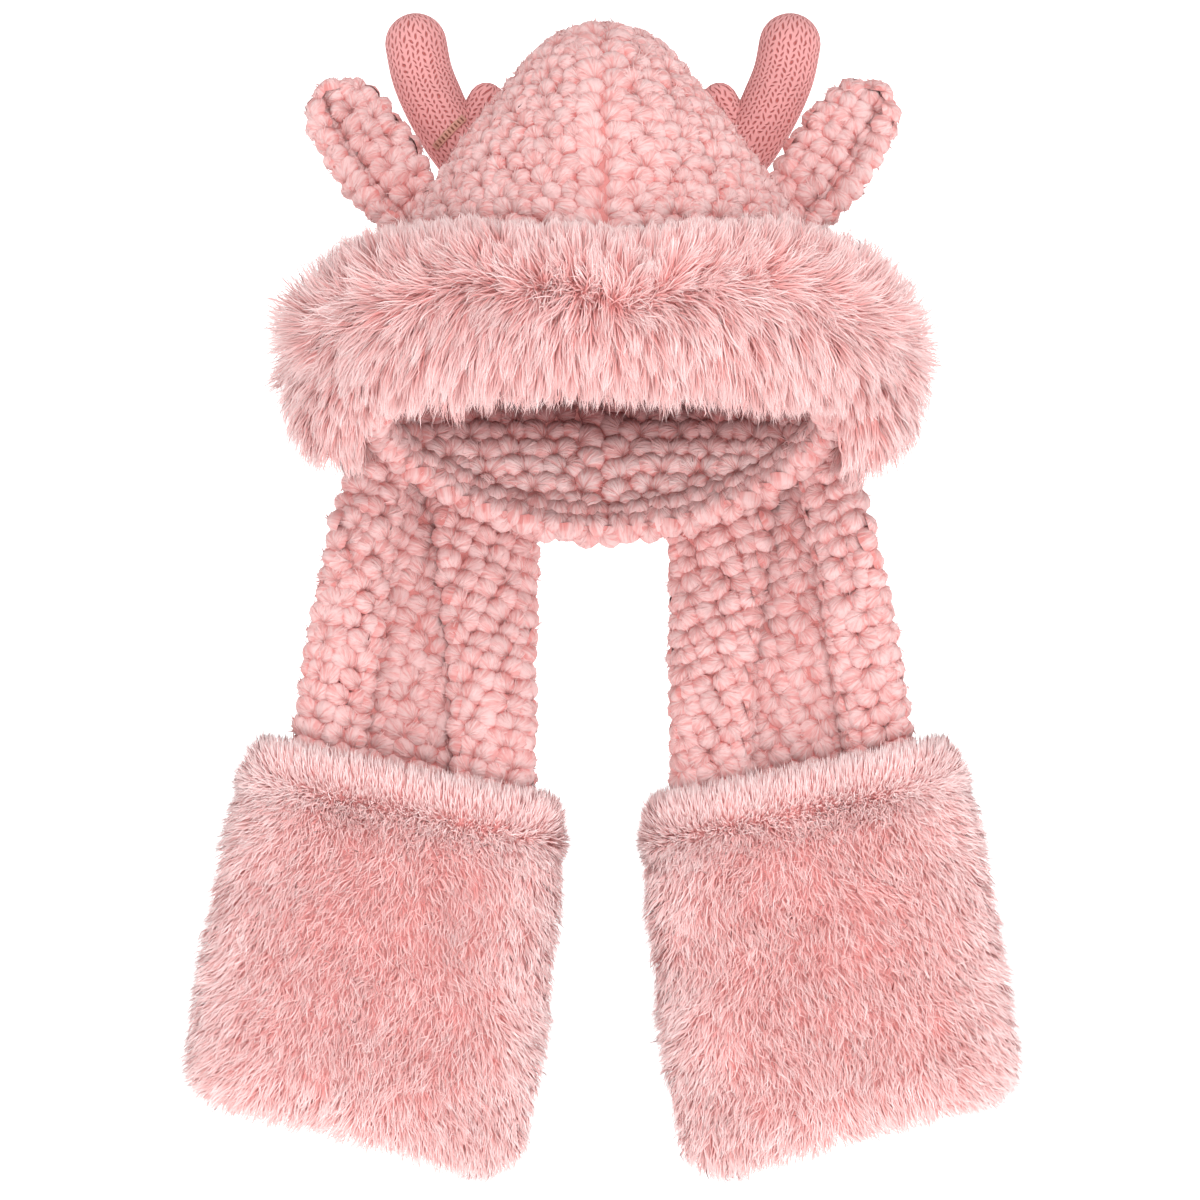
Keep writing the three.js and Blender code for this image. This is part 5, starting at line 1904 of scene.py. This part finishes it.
def add_backdrop(studio, colour_value):
    """A pale floor that curves up into a wall well behind the hood."""
    half_width = 9.0
    front = -4.0
    long = 15.0
    flat = 9.6
    radius = 1.2

    def place(u, v):
        x = mix(-half_width, half_width, u)
        run = v * long
        bend = np.clip((run - flat) / radius, 0, math.pi / 2)
        past = np.maximum(0, run - flat - radius * math.pi / 2)
        y = front + np.minimum(run, flat) + radius * np.sin(bend)
        z = -studio.floor_drop + radius * (1 - np.cos(bend)) + past
        return points(x, y, z)

    bm = mapped_grid(4, 72, place)
    for face in bm.faces:
        face.smooth = True
    mesh = bpy.data.meshes.new("backdrop")
    bm.to_mesh(mesh)
    bm.free()
    backdrop = bpy.data.objects.new("backdrop", mesh)
    bpy.context.scene.collection.objects.link(backdrop)
    material, tree, shader, position = new_material("backdrop_paper", 0.9)
    dye(tree, shader, position, colour_value, 2.0, 0.01)
    shader.inputs["Emission Color"].default_value = (1.0, 1.0, 1.0, 1.0)
    shader.inputs["Emission Strength"].default_value = 0.75
    mesh.materials.append(material)


def add_camera(studio):
    """A level camera in front, at the photo's distance."""
    camera = bpy.data.cameras.new("camera")
    camera.sensor_width = 36.0
    camera.lens = camera.sensor_width * studio.distance / studio.view_width
    holder = bpy.data.objects.new("camera", camera)
    holder.location = (studio.centre_side, -studio.distance, studio.centre_height)
    holder.rotation_euler = (math.radians(90), 0, 0)
    bpy.context.scene.collection.objects.link(holder)
    bpy.context.scene.camera = holder


# Operators

def settings_of(context, *names):
    """The scene's groups of settings, by the last word of their names."""
    return [getattr(context.scene, "hood_scarf_" + name) for name in names]


class HOODSCARF_OT_studio(bpy.types.Operator):
    """Adds the camera, the soft lights and the pale floor"""

    bl_idname = "hood_scarf.studio"
    bl_label = "Studio"

    def execute(self, context):
        studio, colours = settings_of(context, "studio", "colours")
        add_camera(studio)
        aim = (0.0, 0.0, studio.centre_height)
        add_light("key_light", (0.45, -2.2, 1.5), aim, 1.8, studio.key)
        add_light("front_light", (0.4, -2.6, -0.22), aim, 1.0, studio.front_light)
        add_light("left_light", (-2.0, -0.9, 0.6), aim, 1.4, studio.side_light)
        add_light("right_light", (2.0, -0.9, 0.6), aim, 1.4, studio.side_light)
        add_backdrop(studio, colours.floor)
        world = bpy.data.worlds.new("studio_air")
        world.use_nodes = True
        world.node_tree.nodes["Background"].inputs["Strength"].default_value = studio.sky
        world.node_tree.nodes["Background"].inputs["Color"].default_value = (1.0, 1.0, 1.0, 1.0)
        context.scene.world = world
        context.scene.view_settings.view_transform = "Standard"
        return {"FINISHED"}


class HOODSCARF_OT_hood(bpy.types.Operator):
    """Builds the hood: its backing and its fleece tufts outside and inside"""

    bl_idname = "hood_scarf.hood"
    bl_label = "Hood"

    def execute(self, context):
        hood, colours = settings_of(context, "hood", "colours")
        fleece = fleece_material("tuft_fleece", colours)
        backing = hood_backing(hood, fleece_cloth(colours))
        outer = TuftField(11)
        hood_rows(hood, outer, 0.0, False, 0.0)
        hood_seams(hood, outer, 0.0, False, 0.0)
        hem_rows(hood, outer)
        tufts = outer.build("hood_tufts", fleece)
        inner = TuftField(12)
        hood_rows(hood, inner, -hood.wall, True, 0.55)
        hood_seams(hood, inner, -hood.wall, True, 0.55)
        crown = TuftField(13)
        hood_rows(hood, crown, -hood.wall, True, 0.04, 0.55)
        hood_seams(hood, crown, -hood.wall, True, 0.04, 0.55)
        # The inside's tufts and loose fibres carry painted shade under the brim and painted light on the
        # lower wall.
        inner_fleece = fleece_material("inner_fleece", colours, True)
        lining = inner.build("hood_tufts_inside", inner_fleece)
        upper_inside = crown.build("hood_tufts_crown_inside", inner_fleece, tuft_form(8, 4))
        loose = loose_material("loose_fibre", colours)
        outer.fuzz("hood_fuzz", loose, hood)
        inner_loose = loose_material("inner_loose_fibre", colours, True)
        inner.fuzz("hood_fuzz_inside", inner_loose, hood)
        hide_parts("hood")
        return {"FINISHED"}


class HOODSCARF_OT_brim(bpy.types.Operator):
    """Builds the fur brim: its padded roll and its pile"""

    bl_idname = "hood_scarf.brim"
    bl_label = "Fur brim"

    def execute(self, context):
        hood, brim, colours = settings_of(context, "hood", "brim", "colours")
        pile = pile_material("fur_fibre", colours.pile_root_and_shade, colours.pile_tip)
        backing = brim_backing(hood, brim, pile_cloth(colours))
        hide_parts("brim_band")
        left = brim_pile("brim_pile_left", pile, hood, brim, -1, 21)
        right = brim_pile("brim_pile_right", pile, hood, brim, 1, 22)
        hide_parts("brim_fur")
        return {"FINISHED"}


class HOODSCARF_OT_ears(bpy.types.Operator):
    """Builds both folded fleece ears"""

    bl_idname = "hood_scarf.ears"
    bl_label = "Ears"

    def execute(self, context):
        hood, ears, colours = settings_of(context, "hood", "ears", "colours")
        fleece = fleece_material("tuft_fleece", colours)
        loose = loose_material("loose_fibre", colours)
        cloth = fleece_cloth(colours)
        for side, label, seed in ((-1, "left", 31), (1, "right", 32)):
            backing = ear_backing(ears, side, cloth, f"ear_{label}_pad")
            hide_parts(f"ear_{label}")
            for piece in ear_tufts(hood, ears, side, seed, fleece, loose, f"ear_{label}_tufts"):
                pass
        return {"FINISHED"}


class HOODSCARF_OT_antlers(bpy.types.Operator):
    """Builds both knitted antlers and the woven tape on the left one"""

    bl_idname = "hood_scarf.antlers"
    bl_label = "Antlers"

    def execute(self, context):
        antlers, colours = settings_of(context, "antlers", "colours")
        knit = knit_material("antler_knit", colours)
        for side, label in ((-1, "left"), (1, "right")):
            piece = antler(antlers, side, knit, f"antler_{label}_knit")
            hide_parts(f"antler_{label}")
        weave = cloth_material("tape_weave", colours.tape, 2400.0, 0.5)
        dark_weave = cloth_material("tape_bars", colours.tape_bar, 2400.0, 0.5)
        band, bars = tape_pieces(antlers, weave, dark_weave)
        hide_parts("antler_tape")
        return {"FINISHED"}


class HOODSCARF_OT_arms(bpy.types.Operator):
    """Builds both folded scarf arms"""

    bl_idname = "hood_scarf.arms"
    bl_label = "Scarf arms"

    def execute(self, context):
        hood, pockets, arms, colours = settings_of(context, "hood", "pockets", "arms", "colours")
        fleece = fleece_material("tuft_fleece", colours)
        loose = loose_material("loose_fibre", colours)
        cloth = fleece_cloth(colours)
        for side, label, seed in ((-1, "left", 41), (1, "right", 42)):
            backing, cut = arm_backing(hood, pockets, arms, side, cloth, f"arm_{label}_cloth")
            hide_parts(f"arm_{label}")
            for piece in arm_tufts(hood, pockets, arms, side, seed, fleece, loose, f"arm_{label}_tufts"):
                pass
        return {"FINISHED"}


class HOODSCARF_OT_pockets(bpy.types.Operator):
    """Builds both hand pockets: bag, backing and pile"""

    bl_idname = "hood_scarf.pockets"
    bl_label = "Hand pockets"

    def execute(self, context):
        pockets, colours = settings_of(context, "pockets", "colours")
        pile = pile_material("fur_fibre", colours.pile_root_and_shade, colours.pile_tip)
        cloth = pile_cloth(colours)
        plush = cloth_material("pocket_plush", colours.lining, 1500.0, 0.9)
        for side, label, seed in ((-1, "left", 51), (1, "right", 52)):
            lining = soft_copy(f"pocket_{label}_lining", f"pocket_{label}", plush)
            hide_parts(f"pocket_{label}")
            backing = pocket_backing(pockets, side, cloth, f"pocket_{label}_backing")
            fur = pocket_pile(f"pocket_{label}_pile", pile, pockets, side, seed)
            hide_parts(f"pocket_fur_{label}")
        return {"FINISHED"}


class HOODSCARF_PT_panel(bpy.types.Panel):
    """Steps that build the hood scarf, and its sizes"""

    bl_idname = "HOODSCARF_PT_panel"
    bl_label = "Hood Scarf"
    bl_space_type = "VIEW_3D"
    bl_region_type = "UI"
    bl_category = "Hood Scarf"

    def draw(self, context):
        layout = self.layout
        for step in STEPS:
            layout.operator(step.bl_idname, text=step.bl_label)
        for name in SETTINGS:
            settings = getattr(context.scene, name)
            box = layout.box()
            box.label(text=settings.bl_rna.description)
            for key in settings.bl_rna.properties.keys():
                if key not in {"rna_type", "name"}:
                    box.prop(settings, key)


STEPS = (
    HOODSCARF_OT_studio,
    HOODSCARF_OT_hood,
    HOODSCARF_OT_brim,
    HOODSCARF_OT_ears,
    HOODSCARF_OT_antlers,
    HOODSCARF_OT_arms,
    HOODSCARF_OT_pockets,
)
SETTINGS = {
    "hood_scarf_colours": HoodScarfColours,
    "hood_scarf_hood": HoodScarfHood,
    "hood_scarf_brim": HoodScarfBrim,
    "hood_scarf_ears": HoodScarfEars,
    "hood_scarf_antlers": HoodScarfAntlers,
    "hood_scarf_arms": HoodScarfArms,
    "hood_scarf_pockets": HoodScarfPockets,
    "hood_scarf_studio": HoodScarfStudio,
}


def register():
    for name, settings in SETTINGS.items():
        bpy.utils.register_class(settings)
        setattr(bpy.types.Scene, name, PointerProperty(type=settings))
    for step in STEPS:
        bpy.utils.register_class(step)
    bpy.utils.register_class(HOODSCARF_PT_panel)


def unregister():
    bpy.utils.unregister_class(HOODSCARF_PT_panel)
    for step in reversed(STEPS):
        bpy.utils.unregister_class(step)
    for name, settings in reversed(SETTINGS.items()):
        delattr(bpy.types.Scene, name)
        bpy.utils.unregister_class(settings)


def main():
    register()
    bpy.ops.hood_scarf.studio()
    bpy.ops.hood_scarf.hood()
    bpy.ops.hood_scarf.brim()
    bpy.ops.hood_scarf.ears()
    bpy.ops.hood_scarf.antlers()
    bpy.ops.hood_scarf.arms()
    bpy.ops.hood_scarf.pockets()


if __name__ == "__main__":
    main()
